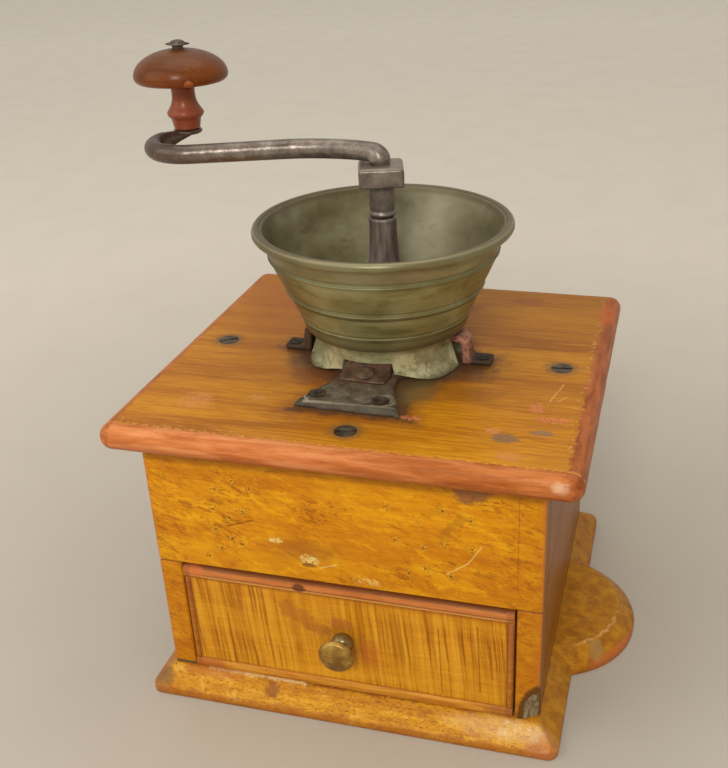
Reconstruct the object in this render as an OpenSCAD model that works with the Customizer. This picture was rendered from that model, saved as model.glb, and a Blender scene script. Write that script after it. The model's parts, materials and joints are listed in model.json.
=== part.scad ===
// Box coffee grinder: a wooden case with a drawer, a pewter hopper and an iron mill.
// Millimetres. X is to the right of the drawer, Y to the back, Z up.
// The origin is on the table, under the axis of the grinder's shaft.

/* [Top board] */
// Width of the top board, side to side
top_w = 190; // [182:1:210]
// Depth of the top board, front to back
top_d = 176; // [168:1:190]
// Thickness of the top board, whose edges are full half rounds
top_t = 11.2; // [10:0.2:14]

/* [Case] */
// Width of the case over its side boards
case_w = 162; // [156:1:166]
// Depth of the case, from the drawer's face to the back
case_d = 157; // [154:1:160]
// Height of the case between the base and the top board
case_h = 112; // [110:1:125]
// Thickness of the side boards and width of the posts beside the drawer
side_t = 10; // [8:0.5:11]
// Thickness of the front board and the posts
front_t = 13; // [12.5:0.5:14]
// Thickness of the back board
back_t = 10; // [8:0.5:11]
// Height of the drawer's bay
bay_h = 56; // [54:1:57]

/* [Base] */
// Thickness of the base board
base_t = 11; // [10:0.5:13]
// How far the base stands out round the case
base_out = 9.2; // [8:0.1:11]
// Height of the upright edge under the bevel
base_edge = 3.6; // [2:0.2:5]
// Radius of the rounded ear on the right of the base
ear_r = 42; // [38:1:46]
// How far right of the middle the ear's centre lies
ear_x = 73; // [68:1:78]
// How far back of the middle the ear's centre lies
ear_y = 2; // [-6:1:6]
// Width of the bevel round the ear
ear_bevel = 8; // [5:0.5:10]

/* [Drawer] */
// Gap over the drawer's front
drawer_gap = 1.3; // [0.8:0.1:2]
// Gap at each side of the drawer
drawer_side_gap = 0.8; // [0.5:0.1:1.2]
// Thickness of the drawer's front
drawer_front_t = 12; // [10:0.5:12.5]
// Thickness of the drawer's sides and back
drawer_side_t = 6; // [5:0.5:8]
// Height of the drawer's sides
drawer_side_h = 50; // [44:1:52]
// Height of the bead along the top of the drawer's front
bead_top = 5.4; // [4:0.2:6]
// Height of the bead along the foot of the drawer's front
bead_foot = 4.8; // [4:0.2:6]
// Width of the bead at each end of the drawer's front
bead_end = 2.6; // [2:0.2:4]
// Radius of the brass pull's disc
pull_r = 7.6; // [6:0.1:9]
// How far the pull stands out of the drawer's front
pull_out = 12.5; // [11:0.5:16]
// Height of the pull above the table
pull_z = 38.5; // [36:0.5:42]
// How far the pull sits right of the middle
pull_x = -1; // [-3:0.5:3]

/* [Hopper] */
// Outer radius of the hopper's rolled rim
rim_r = 54.5; // [53:0.5:56]
// Height of the hopper from its foot on the board to the top of its rim
hopper_h = 61.2; // [60:0.2:63]
// Thickness of the pewter wall
wall = 2.1; // [1.8:0.1:2.4]
// Radius of the skirt, above the flare at its foot
skirt_r = 29.4; // [29.2:0.1:29.8]

/* [Mill] */
// Radius of the shaft
shaft_r = 4; // [3.6:0.1:4.2]
// Running gap between the shaft and its bearings
run_gap = 0.06; // [0.04:0.01:0.08]
// Height of the fixed bearing tube over the mill plate
tube_h = 59.8; // [58:0.2:60]
// Thickness of the mill plate
plate_t = 3; // [2.5:0.1:3.5]
// Turn of the mill plate on the board, in degrees
plate_turn = -2; // [-4:1:4]
// Number of teeth round the fixed ring
ring_teeth = 24; // [18:2:28]
// Number of coarse breaking teeth on the cone
cone_teeth = 8; // [6:1:10]

/* [Crank] */
// Where the knob's axis stands, to the right of the shaft
knob_x = -91; // [-94:0.5:-88]
// Where the knob's axis stands, behind the shaft
knob_y = 15.5; // [13:0.5:18]
// Radius of the crank's round rod
rod_r = 3.9; // [3.5:0.1:4.2]
// Radius of the hook at the rod's outer end
hook_r = 16; // [15:0.5:17]
// Turn of the square crank head, in degrees
head_turn = 17; // [10:1:25]
// Width of the square crank head
head_w = 18.4; // [17:0.2:20]
// Height of the square crank head
head_h = 8.1; // [7.5:0.1:8.5]

/* [Knob] */
// Radius of the knob's mushroom cap
cap_r = 20; // [18:0.5:21]
// Height of the knob from its foot to the top of its cap
knob_h = 33.2; // [32:0.2:35]

/* [Hidden] */
$fn = 64;
// Overlap of a cutting shape past the face that it cuts
cut = 0.5;

// Levels of the case
case_top = base_t + case_h;
deck_z = case_top + top_t;
plate_z = deck_z + plate_t;
bay_top = base_t + bay_h;
front_y = -case_d / 2;
back_y = case_d / 2;
inner_x = case_w / 2 - side_t;

// Board screws: radius of the head, of the shank, and the whole length
deck_screw = [4.5, 2, 24];
plate_screw = [3.7, 1.6, 11];
small_screw = [2.9, 1.3, 9];
base_screw = [3.6, 1.7, 22];
deck_screws_at = [[2.6, front_y + 8.5], [2, back_y - 6], [-case_w / 2 + 5.5, 0], [case_w / 2 - 5, 0]];
base_screws_at = [for (x = [-1, 1], y = [-1, 1]) [x * (case_w - side_t) / 2, y * 52]];

// Mill
mill_hole_r = 23.2;
plate_ring_r = 27;
foot_reach = 56;
foot_half_w = 22.3;
foot_waist = 13;
foot_screws_at = [[-14.6, -48], [12.2, -48.6], [14.6, 48], [-12.2, 48.6]];
tube_top = plate_z + tube_h;
hub_r = 9;
hub_z = deck_z + 7.8;
arm_t = 3.4;
arm_half_w = 10.6;
arm_toe = 36;
arm_rise = 7.2;
rivets_y = 31.2;
leg_x = 37.6;
leg_half_w = 4.6;
leg_foot = 46.5;
leg_foot_t = 2.4;
ring_flange_r = 25;
ring_flange_t = 1.4;
ring_low = 105;
cone_low = 106;
cone_top = 133;
strap_z = 92;
strap_t = 4;
strap_half_w = 6;
strap_x = 31;
screw_r = 3;
pad_t = 2;
shaft_low = strap_z + strap_t + 2 + pad_t;

// Crank
head_z = deck_z + 76.3;
head_top = head_z + head_h;
square_w = 5.6;
square_top = head_z + 2.4;
collar_r = 5.25;
collar_z = tube_top + 0.3;
rod_z = head_top + rod_r + 0.5;
bend_r = rod_z - head_top;
rod_hole_r = 3.6;
// Radius of the rod where it stands in that hole
rod_neck_r = rod_hole_r - 0.05;
// Headings of the rod in plan: out of the head, along the run, and at the eye
head_heading = 165;
run_heading = 201;
eye_heading = 50;
eye_gap = 5.5;
eye_r = 6.2;
eye_t = 2.7;
function along(h) = [cos(h), sin(h)];
knob_at = [knob_x, knob_y];
hook_end = knob_at - eye_gap * along(eye_heading);
hook_at = hook_end + hook_r * along(eye_heading - 90);
run_end = hook_at + hook_r * along(run_heading + 90);
bend_end = bend_r * along(head_heading);
// Radius of the sweep that is tangent to both the bend and the straight run
run_side = along(run_heading + 90);
sweep_r = (run_end - bend_end) * run_side / ((along(head_heading + 90) - run_side) * run_side);
sweep_at = bend_end + sweep_r * along(head_heading + 90);
// Where the round hook ends and the flattened tongue begins
hook_heading = 72;
tongue_at = hook_at + hook_r * along(hook_heading + 90);

// Knob
eye_top = rod_z + 3.3;
knob_z = eye_top + 0.3;
pin_r = 2.4;
pin_gap = 0.06;
washer_z = knob_z + knob_h + 1.4;
washer_t = 1.1;

// Drawer
drawer_half_w = inner_x - drawer_side_gap;
drawer_z = base_t;
front_low = drawer_z + 0.6;
front_high = bay_top - drawer_gap;
front_back_y = front_y + drawer_front_t;
side_in = drawer_half_w - drawer_side_t;
drawer_end = back_y - back_t;
drawer_back_y = 60;
floor_z = drawer_z + 3;
floor_t = 3.5;
groove = 2;
bead_depth = 8;
bead_proud = 1;

// Shapes that several pieces share

module rounded_plan(w, d, r) {
    square([w - 2 * r, d], center = true);
    square([w, d - 2 * r], center = true);
    for (x = [-1, 1], y = [-1, 1])
        translate([x * (w / 2 - r), y * (d / 2 - r)]) circle(r);
}

// A slab whose four edges are half rounds and whose corners are parts of a ball
module half_round_slab(w, d, t) {
    r = t / 2;
    translate([0, 0, r]) {
        cube([w - 2 * r, d - 2 * r, t], center = true);
        for (s = [-1, 1]) {
            translate([0, s * (d / 2 - r), 0]) rotate([0, 90, 0]) cylinder(r = r, h = w - 2 * r, center = true);
            translate([s * (w / 2 - r), 0, 0]) rotate([90, 0, 0]) cylinder(r = r, h = d - 2 * r, center = true);
        }
        for (x = [-1, 1], y = [-1, 1])
            translate([x * (w / 2 - r), y * (d / 2 - r), 0]) sphere(r);
    }
}

// A countersunk screw, head up at z = 0. size is [head radius, shank radius, length].
module screw_body(size) {
    head_h = size[0] * 0.75;
    translate([0, 0, -head_h]) cylinder(r1 = size[1], r2 = size[0], h = head_h);
    translate([0, 0, -size[2] + 3]) cylinder(r = size[1], h = size[2] - 3 - head_h + 0.01);
    translate([0, 0, -size[2]]) cylinder(r1 = 0.4, r2 = size[1], h = 3.01);
}

module slotted_screw(size, turn) {
    difference() {
        screw_body(size);
        rotate([0, 0, turn]) cube([3 * size[0], size[0] * 0.24, 1.8], center = true);
    }
}

module deck_screw_holes() {
    for (p = deck_screws_at) translate([p[0], p[1], deck_z]) screw_body(deck_screw);
}

module plate_screw_holes() {
    rotate([0, 0, plate_turn]) for (p = foot_screws_at) translate([p[0], p[1], plate_z]) screw_body(plate_screw);
}

module leg_screw_holes() {
    for (s = [-1, 1]) translate([s * 42.4, 0, deck_z + leg_foot_t]) screw_body(small_screw);
}

module strap_screw_holes() {
    for (s = [-1, 1]) translate([s * (strap_x + 7.5), 0, case_top - strap_t]) mirror([0, 0, 1]) screw_body(small_screw);
}

module base_screw_holes() {
    for (p = base_screws_at) translate([p[0], p[1], 0.4]) mirror([0, 0, 1]) screw_body(base_screw);
}

// Case

module base_board() {
    w = case_w + 2 * base_out;
    d = case_d + 2 * base_out;
    color("#b9862f") difference() {
        union() {
            intersection() {
                bevelled_bar(w, d);
                rotate([0, 0, 90]) bevelled_bar(d, w);
                linear_extrude(base_t) rounded_plan(w, d, 5);
            }
            translate([ear_x, ear_y, 0]) rotate_extrude()
                polygon([[0, 0], [ear_r - 0.8, 0], [ear_r, 0.8], [ear_r, base_edge],
                         [ear_r - ear_bevel, base_t], [0, base_t]]);
        }
        base_screw_holes();
    }
}

// A bar along Y with a wide bevel on both long edges
module bevelled_bar(w, d) {
    rotate([90, 0, 0]) linear_extrude(d + 2, center = true)
        polygon([[-w / 2 + 0.8, 0], [w / 2 - 0.8, 0], [w / 2, 0.8], [w / 2, base_edge], [w / 2 - base_out, base_t],
                 [-w / 2 + base_out, base_t], [-w / 2, base_edge], [-w / 2, 0.8]]);
}

module base_screws() {
    color("#4a3f36") for (p = base_screws_at) translate([p[0], p[1], 0.4]) mirror([0, 0, 1]) slotted_screw(base_screw, 20);
}

module side_board(s) {
    difference() {
        translate([s > 0 ? inner_x : -inner_x - side_t, front_y + front_t, base_t])
            cube([side_t, case_d - front_t - back_t, case_h]);
        deck_screw_holes();
        base_screw_holes();
    }
}

module left_side_board() { color("#8a5a22") side_board(-1); }

module right_side_board() { color("#8a5a22") side_board(1); }

module back_board() {
    color("#93631f") difference() {
        translate([-case_w / 2, back_y - back_t, base_t]) cube([case_w, back_t, case_h]);
        deck_screw_holes();
    }
}

module upper_front_board() {
    color("#c08a2c") difference() {
        translate([-case_w / 2, front_y, bay_top]) cube([case_w, front_t, case_top - bay_top]);
        deck_screw_holes();
    }
}

module post(s) {
    translate([s > 0 ? inner_x : -inner_x - side_t, front_y, base_t]) cube([side_t, front_t, bay_h]);
}

module left_post() { color("#bb842b") post(-1); }

// The right post's lower corner is broken away
module right_post() {
    color("#bb842b") difference() {
        post(1);
        translate([case_w / 2 + 3.5, front_y - 4.5, base_t + 1]) sphere(13.4);
    }
}

module top_board() {
    color("#b5742a") difference() {
        translate([0, 0, case_top]) half_round_slab(top_w, top_d, top_t);
        translate([0, 0, case_top - cut]) cylinder(r = mill_hole_r, h = top_t + 2 * cut);
        deck_screw_holes();
        plate_screw_holes();
        leg_screw_holes();
        strap_screw_holes();
    }
}

module top_board_screws() {
    turns = [12, 80, 35, 5];
    color("#3f3a34") for (i = [0:3])
        translate([deck_screws_at[i][0], deck_screws_at[i][1], deck_z]) slotted_screw(deck_screw, turns[i]);
}

// Mill

// One fishtail foot towards -Y, with a steep bevel round it
module fishtail() {
    tail = [[-foot_waist, -20], [-foot_waist, -arm_toe + 4], [-foot_half_w, -foot_reach],
            [foot_half_w, -foot_reach], [foot_waist, -arm_toe + 4], [foot_waist, -20]];
    bevel = 1.5;
    slope = (foot_half_w - foot_waist) / (foot_reach - arm_toe + 4);
    inset = [bevel, bevel, bevel * (1 + slope), bevel * (1 + slope), bevel, bevel];
    top = [for (i = [0:5]) [tail[i][0] - sign(tail[i][0]) * inset[i], tail[i][1] + (i == 2 || i == 3 ? bevel : 0)]];
    hull() {
        linear_extrude(0.8) polygon([for (i = [1:4]) tail[i]]);
        linear_extrude(plate_t) polygon([for (i = [1:4]) top[i]]);
    }
    hull() {
        linear_extrude(0.8) polygon([for (i = [0, 1, 4, 5]) tail[i]]);
        linear_extrude(plate_t) polygon([for (i = [0, 1, 4, 5]) top[i]]);
    }
}

module mill_plate() {
    color("#4b4038") difference() {
        union() {
            translate([0, 0, deck_z]) cylinder(r = plate_ring_r, h = plate_t);
            rotate([0, 0, plate_turn]) for (turn = [0, 180])
                rotate([0, 0, turn]) translate([0, 0, deck_z]) fishtail();
        }
        translate([0, 0, deck_z - cut]) cylinder(r = mill_hole_r - 0.2, h = plate_t + 2 * cut);
        plate_screw_holes();
        rivet_holes();
    }
}

module plate_screws() {
    turns = [28, 2, 50, -20];
    color("#5a5048") rotate([0, 0, plate_turn]) for (i = [0:3])
        translate([foot_screws_at[i][0], foot_screws_at[i][1], plate_z]) slotted_screw(plate_screw, turns[i]);
}

// Side view of a broad arm, in Y and Z, from its toe on the plate up to the hub
module arm_profile() {
    polygon([[-arm_toe, plate_z], [-arm_toe, plate_z + 0.9], [-arm_toe + 7, plate_z + 3],
             [-22, plate_z + arm_rise], [-12, plate_z + arm_rise + 2.6], [0, plate_z + arm_rise + 2.6],
             [0, plate_z + arm_rise - arm_t + 2.6], [-13, plate_z + arm_rise - arm_t + 2.2],
             [-23, plate_z + arm_rise - arm_t - 0.4], [-27.6, plate_z]]);
}

// Side view of a narrow leg, in X and Z, from its foot on the board up to the hub
module leg_profile() {
    polygon([[leg_foot, deck_z], [leg_foot, deck_z + leg_foot_t], [leg_x + 1.2, deck_z + leg_foot_t],
             [leg_x, deck_z + leg_foot_t + 1.2], [leg_x - 0.6, deck_z + 10.4], [leg_x - 4, deck_z + 13.2],
             [0, deck_z + 13.2], [0, deck_z + 9.8], [leg_x - 5.4, deck_z + 9.8],
             [leg_x - 4.2, deck_z + 8.6], [leg_x - 3.6, deck_z]]);
}

module bearing_bridge() {
    color("#5d463a") difference() {
        union() {
            rotate([0, 0, plate_turn]) for (turn = [0, 180]) rotate([0, 0, turn])
                intersection() {
                    rotate([90, 0, 90]) linear_extrude(2 * arm_half_w, center = true) arm_profile();
                    linear_extrude(deck_z + 20) polygon([[-arm_half_w + 1, -arm_toe], [arm_half_w - 1, -arm_toe],
                        [arm_half_w, -28], [6, -12], [6, 0], [-6, 0], [-6, -12], [-arm_half_w, -28]]);
                }
            for (s = [0, 1]) mirror([s, 0, 0])
                rotate([90, 0, 0]) linear_extrude(2 * leg_half_w, center = true) leg_profile();
            rotate_extrude() polygon([[0, hub_z], [hub_r - 1, hub_z], [hub_r, hub_z + 1], [hub_r, deck_z + 15],
                [8, deck_z + 17], [6.6, deck_z + 43], [5.8, tube_top - 2.2], [6.1, tube_top - 1.6],
                [6.1, tube_top - 0.6], [5.6, tube_top], [0, tube_top]]);
        }
        translate([0, 0, hub_z - cut]) cylinder(r = shaft_r + run_gap, h = tube_top - hub_z + 2 * cut);
        rivet_holes();
        leg_screw_holes();
    }
}

// The rivets stand square to the slope of the broad arms
module rivet_at(turn) {
    rotate([0, 0, plate_turn + turn]) translate([0, -rivets_y, plate_z + 2.3]) rotate([16, 0, 0]) children();
}

module rivet_holes() {
    for (turn = [0, 180]) rivet_at(turn) translate([0, 0, -4.8]) cylinder(r = 1.8, h = 9);
}

module bridge_rivets() {
    color("#6a4a3a") for (turn = [0, 180]) rivet_at(turn) {
        translate([0, 0, -4.8]) cylinder(r = 1.8, h = 5.2);
        translate([0, 0, 0.35]) intersection() {
            cylinder(r = 4, h = 2);
            translate([0, 0, -4.4]) sphere(5.9);
        }
    }
}

module bridge_foot_screws() {
    color("#5a463c") for (s = [-1, 1])
        translate([s * 42.4, 0, deck_z + leg_foot_t]) slotted_screw(small_screw, 30 * s);
}

// The hopper's two upper rings and the corner over its skirt: radius and height over the board
rings = [[47.4, 48.3], [40.6, 33.4]];
corner = [35.5, 22.4];

module hopper() {
    top = hopper_h;
    bead = 1.9;
    low = skirt_r - wall;
    color("#7d7a5c") difference() {
        translate([0, 0, deck_z]) rotate_extrude() {
            difference() {
                polygon([[low, 0], [33.6, 0], [33.8, 0.5], [33.2, 0.9], [31.4, 1.3], [30, 2.4], [skirt_r, 4.6],
                         [skirt_r - 0.4, 11], [skirt_r - 0.2, 15.6], [corner[0] - 0.8, corner[1] - 1.8],
                         [corner[0], corner[1] - 0.6], corner, rings[1], rings[0], [rim_r - 2.4, top - 2.6],
                         [rim_r - 2, top - 1], [rim_r - 3.4, top - 0.4], [rings[0][0] - wall, rings[0][1] + 0.4],
                         [rings[1][0] - wall, rings[1][1] + 0.6], [corner[0] - wall - 0.4, corner[1] + 0.8],
                         [low, 16.4], [low, 8]]);
                for (p = rings) translate(p - [-0.25, 1]) circle(r = 0.55, $fn = 16);
            }
            translate([rim_r - bead, top - bead]) circle(bead, $fn = 32);
            for (p = rings) translate(p - [0.2, 0]) circle(r = 0.75, $fn = 24);
            translate(corner - [0.7, 0.3]) circle(r = 0.9, $fn = 24);
        }
        // The skirt is cut away over the mill plate's necks and round the legs
        for (turn = [0, 180]) rotate([0, 0, plate_turn + turn]) translate([0, -skirt_r + 6, deck_z])
            rotate([90, 0, 0]) linear_extrude(20) skirt_notch();
        for (s = [-1, 1]) translate([s * (skirt_r + 1), 0, deck_z + 7 - cut / 2])
            cube([14, 2 * leg_half_w + 2, 14 + cut], center = true);
    }
}

// The ragged opening over a neck of the mill plate, in X and in height over the board
module skirt_notch() {
    half = arm_half_w + 0.6;
    polygon([[-27, -1], [-27, 0], [-25, 0.4], [-20, 1.2], [-foot_waist - 0.6, 3.6], [-half, 4], [-half, 8.4],
             [-half + 1, 9], [half - 1, 9], [half, 8.2], [half, 4.2], [foot_waist + 0.6, 3.4], [20, 1.4],
             [25, 0.3], [27, 0], [27, -1]]);
}

// Inner radius of the fixed ring's lower, grinding part at height z
function ring_bore(z) = 13 + (122 - z) * 0.27;

module burr_ring() {
    color("#55504a") difference() {
        rotate_extrude() polygon([[24, plate_z + ring_flange_t], [ring_flange_r, plate_z + ring_flange_t],
            [ring_flange_r, plate_z], [mill_hole_r - 0.4, plate_z], [mill_hole_r - 0.4, ring_low + 1],
            [mill_hole_r - 1.4, ring_low], [ring_bore(ring_low), ring_low], [ring_bore(122), 122], [13, 124]]);
        for (i = [0:ring_teeth - 1]) rotate([0, 0, i * 360 / ring_teeth])
            translate([ring_bore(122), 0, 122]) rotate([0, 15, 0]) rotate([0, 0, 45])
                translate([0, 0, -20]) cube([1.5, 1.5, 40], center = true);
    }
}

// Outer radius of the turning cone at height z
function cone_face(z) = z < 121 ? ring_bore(z) - 0.9 : 12.37 - (z - 121) * 0.42;

module burr_cone() {
    color("#4c4843") difference() {
        rotate_extrude() polygon([[0, cone_low], [cone_face(cone_low), cone_low], [cone_face(121), 121.001],
            [cone_face(cone_top), cone_top], [shaft_r + 1.6, cone_top + 1.6], [0, cone_top + 1.6]]);
        translate([0, 0, cone_low - cut]) cylinder(r = shaft_r, h = cone_top - cone_low + 3);
        // Fine teeth round the lower part
        for (i = [0:ring_teeth - 1]) rotate([0, 0, i * 360 / ring_teeth])
            translate([cone_face(cone_low) + 0.25, 0, cone_low]) rotate([0, -15, 0]) rotate([0, 0, 45])
                translate([0, 0, 4]) cube([1.3, 1.3, 14], center = true);
        // Coarse slanting flutes round the upper part
        for (i = [0:cone_teeth - 1]) rotate([0, 0, i * 360 / cone_teeth])
            translate([11.8, 0, 125]) rotate([32, -22, 0]) cylinder(r = 2.2, h = 26, center = true);
        cone_pin_shape();
    }
}

module cone_pin_shape() {
    translate([0, 0, cone_low + 3.4]) rotate([0, 90, 20]) cylinder(r = 1.1, h = 22, center = true);
}

module cone_pin() { color("#77716a") cone_pin_shape(); }

module shaft() {
    color("#6a625b") difference() {
        union() {
            translate([0, 0, shaft_low]) cylinder(r1 = 2.2, r2 = shaft_r, h = 2);
            translate([0, 0, shaft_low + 2]) cylinder(r = shaft_r, h = collar_z - shaft_low - 2);
            translate([-square_w / 2, -square_w / 2, collar_z - 1]) cube([square_w, square_w, square_top - collar_z + 1]);
        }
        cone_pin_shape();
    }
}

// Footstep under the shaft

module thrust_pad() {
    color("#8b8680") translate([0, 0, shaft_low - pad_t]) cylinder(r = 4.4, h = pad_t);
}

module footstep_strap() {
    rise = case_top - strap_z;
    color("#4b443d") difference() {
        union() {
            rotate([90, 0, 0]) linear_extrude(2 * strap_half_w, center = true) difference() {
                translate([-strap_x - 13, strap_z]) square([2 * strap_x + 26, rise]);
                translate([-strap_x + strap_t, strap_z + strap_t]) square([2 * (strap_x - strap_t), rise]);
                for (s = [-1, 1]) translate([s * (strap_x + 7) - 7, strap_z - cut]) square([14, rise - strap_t + cut]);
            }
            translate([0, 0, strap_z - 4]) cylinder(r = 7.4, h = strap_t + 4);
        }
        translate([0, 0, strap_z - 4 - cut]) cylinder(r = screw_r + 0.05, h = strap_t + 4 + 2 * cut);
        strap_screw_holes();
    }
}

module strap_screws() {
    color("#5a5048") for (s = [-1, 1])
        translate([s * (strap_x + 7.5), 0, case_top - strap_t]) mirror([0, 0, 1]) slotted_screw(small_screw, 15);
}

// A thumb screw with a flat wing, turned from inside the empty drawer bay
module adjusting_screw() {
    tip = shaft_low - pad_t;
    low = strap_z - 22;
    color("#6d655d") {
        translate([0, 0, low + 8]) cylinder(r = screw_r, h = tip - low - 8);
        translate([0, 0, low + 8]) cylinder(r1 = 4.4, r2 = 3.6, h = 3);
        difference() {
            rotate([90, 0, 0]) linear_extrude(3.2, center = true) {
                translate([-7, low + 4.6]) circle(4.4);
                translate([7, low + 4.6]) circle(4.4);
                translate([-7, low + 2.4]) square([14, 6]);
            }
            for (s = [-1, 1]) translate([s * 7.4, 0, low + 4.6]) rotate([90, 0, 0]) cylinder(r = 1.5, h = 8, center = true);
        }
    }
}

// Crank

module crank_head() {
    chamfer = 1.1;
    color("#4d4640") difference() {
        union() {
            rotate([0, 0, head_turn]) translate([0, 0, head_z]) intersection() {
                translate([-head_w / 2, -head_w / 2, 0]) cube([head_w, head_w, head_h]);
                rotate([0, 0, 45]) translate([0, 0, head_h / 2])
                    cube([head_w * sqrt(2) - chamfer, head_w * sqrt(2) - chamfer, head_h + 2], center = true);
                rotate([45, 0, 0]) cube([head_w + 2, 2 * block_reach(chamfer), 2 * block_reach(chamfer)], center = true);
                rotate([0, 45, 0]) cube([2 * block_reach(chamfer), head_w + 2, 2 * block_reach(chamfer)], center = true);
            }
            rotate_extrude() polygon([[0, collar_z], [5.3, collar_z], [5.7, collar_z + 0.5], [5.7, collar_z + 1.4],
                [5.2, collar_z + 1.9], [5, collar_z + 2.4], [collar_r, collar_z + 3], [collar_r + 0.1, head_z + 0.01], [0, head_z + 0.01]]);
        }
        translate([-square_w / 2, -square_w / 2, collar_z - cut]) cube([square_w, square_w, square_top - collar_z + cut]);
        translate([0, 0, square_top]) cylinder(r = rod_hole_r, h = head_top - square_top + cut);
    }
}

// Half width of a turned cube that takes a chamfer off the head's upper edges
function block_reach(c) = (head_w / 2 + head_h - c) / sqrt(2);

// One station of the rod: centre, direction across the rod, direction up, half width, half height
function level_station(at, h, lift, a, b) =
    [[at[0], at[1], rod_z + lift], [cos(h + 90), sin(h + 90), 0], [0, 0, 1], a, b];

function arc_station(centre, r, h, left, a) =
    level_station(centre + r * along(left ? h - 90 : h + 90), h, 0, a, a);

function bend_station(fall) = let (d = along(head_heading), c = bend_r * (1 - cos(fall)))
    [[c * d[0], c * d[1], head_top + bend_r * sin(fall)], [-d[1], d[0], 0],
     [-cos(fall) * d[0], -cos(fall) * d[1], sin(fall)], bend_half(fall), bend_half(fall)];

// The rod thickens a little just above the head
function bend_half(fall) = rod_neck_r + 0.15 * min(1, fall / 18);

// A closed tube through a list of stations
module tube(stations, sides) {
    n = len(stations);
    points = [for (s = stations, i = [0:sides - 1]) let (t = i * 360 / sides)
        s[0] + s[3] * cos(t) * s[1] + s[4] * sin(t) * s[2]];
    walls = [for (k = [0:n - 2], i = [0:sides - 1]) let (j = (i + 1) % sides)
        each [[k * sides + i, (k + 1) * sides + j, k * sides + j], [k * sides + i, (k + 1) * sides + i, (k + 1) * sides + j]]];
    first = [for (i = [0:sides - 1]) i];
    last = [for (i = [0:sides - 1]) n * sides - 1 - i];
    polyhedron(points, concat([first, last], walls));
}

module crank_arm() {
    d = along(head_heading);
    stub = [[0, 0, square_top], [-d[1], d[0], 0], [-d[0], -d[1], 0], rod_neck_r, rod_neck_r];
    run_r = rod_r + 0.15;
    tongue = knob_at - tongue_at;
    tongue_turn = atan2(tongue[1], tongue[0]);
    stations = concat([stub], [for (f = [0:18:72]) bend_station(f)],
        [for (h = [head_heading:4:run_heading]) let (t = (h - head_heading) / (run_heading - head_heading))
            arc_station(sweep_at, sweep_r, h, true, bend_half(90) + (run_r - bend_half(90)) * min(1, 2.2 * t))],
        [for (h = [run_heading:-10:hook_heading + 8]) arc_station(hook_at, hook_r, h, false, rod_r)],
        [for (t = [0:0.2:0.8]) level_station(tongue_at + t * tongue, hook_heading + (tongue_turn - hook_heading) * min(1, 2 * t),
            1.9 * t, rod_r - 0.2 + 1.1 * t, rod_r - 0.2 - 2.6 * t)]);
    color("#5a5049") difference() {
        union() {
            tube(stations, 24);
            translate([knob_x, knob_y, eye_top - eye_t]) rotate_extrude() polygon([[0, 0], [eye_r - 0.9, 0],
                [eye_r, 0.9], [eye_r, eye_t - 0.6], [eye_r - 0.6, eye_t], [0, eye_t]]);
        }
        translate([knob_x, knob_y, rod_z - 7]) cylinder(r = pin_r, h = 14);
    }
}

module knob_pin() {
    low = rod_z - 2.6;
    high = washer_z + washer_t;
    color("#514a44") translate([knob_x, knob_y, 0]) {
        translate([0, 0, low]) cylinder(r = pin_r, h = high - low);
        translate([0, 0, high]) intersection() {
            cylinder(r = 2.9, h = 2);
            translate([0, 0, -3.4]) sphere(4.4);
        }
    }
}

module knob_washer() {
    color("#3f3b37") difference() {
        translate([knob_x, knob_y, washer_z + washer_t / 2]) rotate([0, 0, 60]) cube([7.6, 7.6, washer_t], center = true);
        translate([knob_x, knob_y, washer_z - cut]) cylinder(r = pin_r, h = washer_t + 2 * cut);
    }
}

// The knob's cap is half an ellipse over a rounded rim, on a turned stem with one ring
module knob() {
    rim_z = 22.4;
    steps = 14;
    dome = [for (i = [0:steps - 1]) let (a = i * 90 / steps) [cap_r * cos(a), rim_z + (knob_h - rim_z) * sin(a)]];
    rim = [for (i = [1:5]) let (a = 90 - i * 18) [cap_r - 3 + 3 * sin(a), rim_z - 2.6 * cos(a)]];
    neck = [for (i = [0:7]) let (t = i / 7) [5.1 + 2.4 * t * t, 14 - 6.2 * t]];
    color("#6b2f1c") difference() {
        translate([knob_x, knob_y, knob_z]) rotate_extrude() polygon(concat(
            [[0, knob_h]], [for (i = [steps - 1:-1:0]) dome[i]], rim,
            [[6.4, rim_z - 2.9], [5.3, rim_z - 4.2]], neck,
            [[7.95, 7], [7.95, 6.2], [7.2, 5], [6.4, 4.3], [5.6, 0.3], [5.3, 0], [0, 0]]));
        translate([knob_x, knob_y, knob_z - cut]) cylinder(r = pin_r + pin_gap, h = knob_h + 2 * cut);
    }
}

// Drawer

module drawer_front() {
    color("#c8902f") difference() {
        translate([-drawer_half_w, front_y, front_low]) cube([2 * drawer_half_w, drawer_front_t, front_high - front_low]);
        bead_frame(0.01);
        // Housings for the sides, and the groove for the bottom
        for (s = [-1, 1]) translate([s * (drawer_half_w - drawer_side_t / 2), front_back_y, 0])
            translate([-drawer_side_t / 2 - (s < 0 ? cut : 0), -4, 0]) cube([drawer_side_t + cut, 4 + cut, drawer_z + drawer_side_h]);
        translate([-side_in - cut, front_back_y - groove, floor_z]) cube([2 * side_in + 2 * cut, groove + cut, floor_t]);
        translate([pull_x, front_y - cut, pull_z]) rotate([-90, 0, 0]) cylinder(r = 2.2, h = drawer_front_t + 2 * cut);
        nail_shapes();
    }
}

// The rebate round the front's edges that the beads fill, widened outwards by extra
module bead_frame(extra) {
    difference() {
        translate([-drawer_half_w - extra, front_y - extra, front_low - extra])
            cube([2 * (drawer_half_w + extra), bead_depth + extra, front_high - front_low + 2 * extra]);
        translate([-drawer_half_w + bead_end, front_y - 1, front_low + bead_foot])
            cube([2 * (drawer_half_w - bead_end), bead_depth + 2, front_high - front_low - bead_foot - bead_top]);
    }
}

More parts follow.
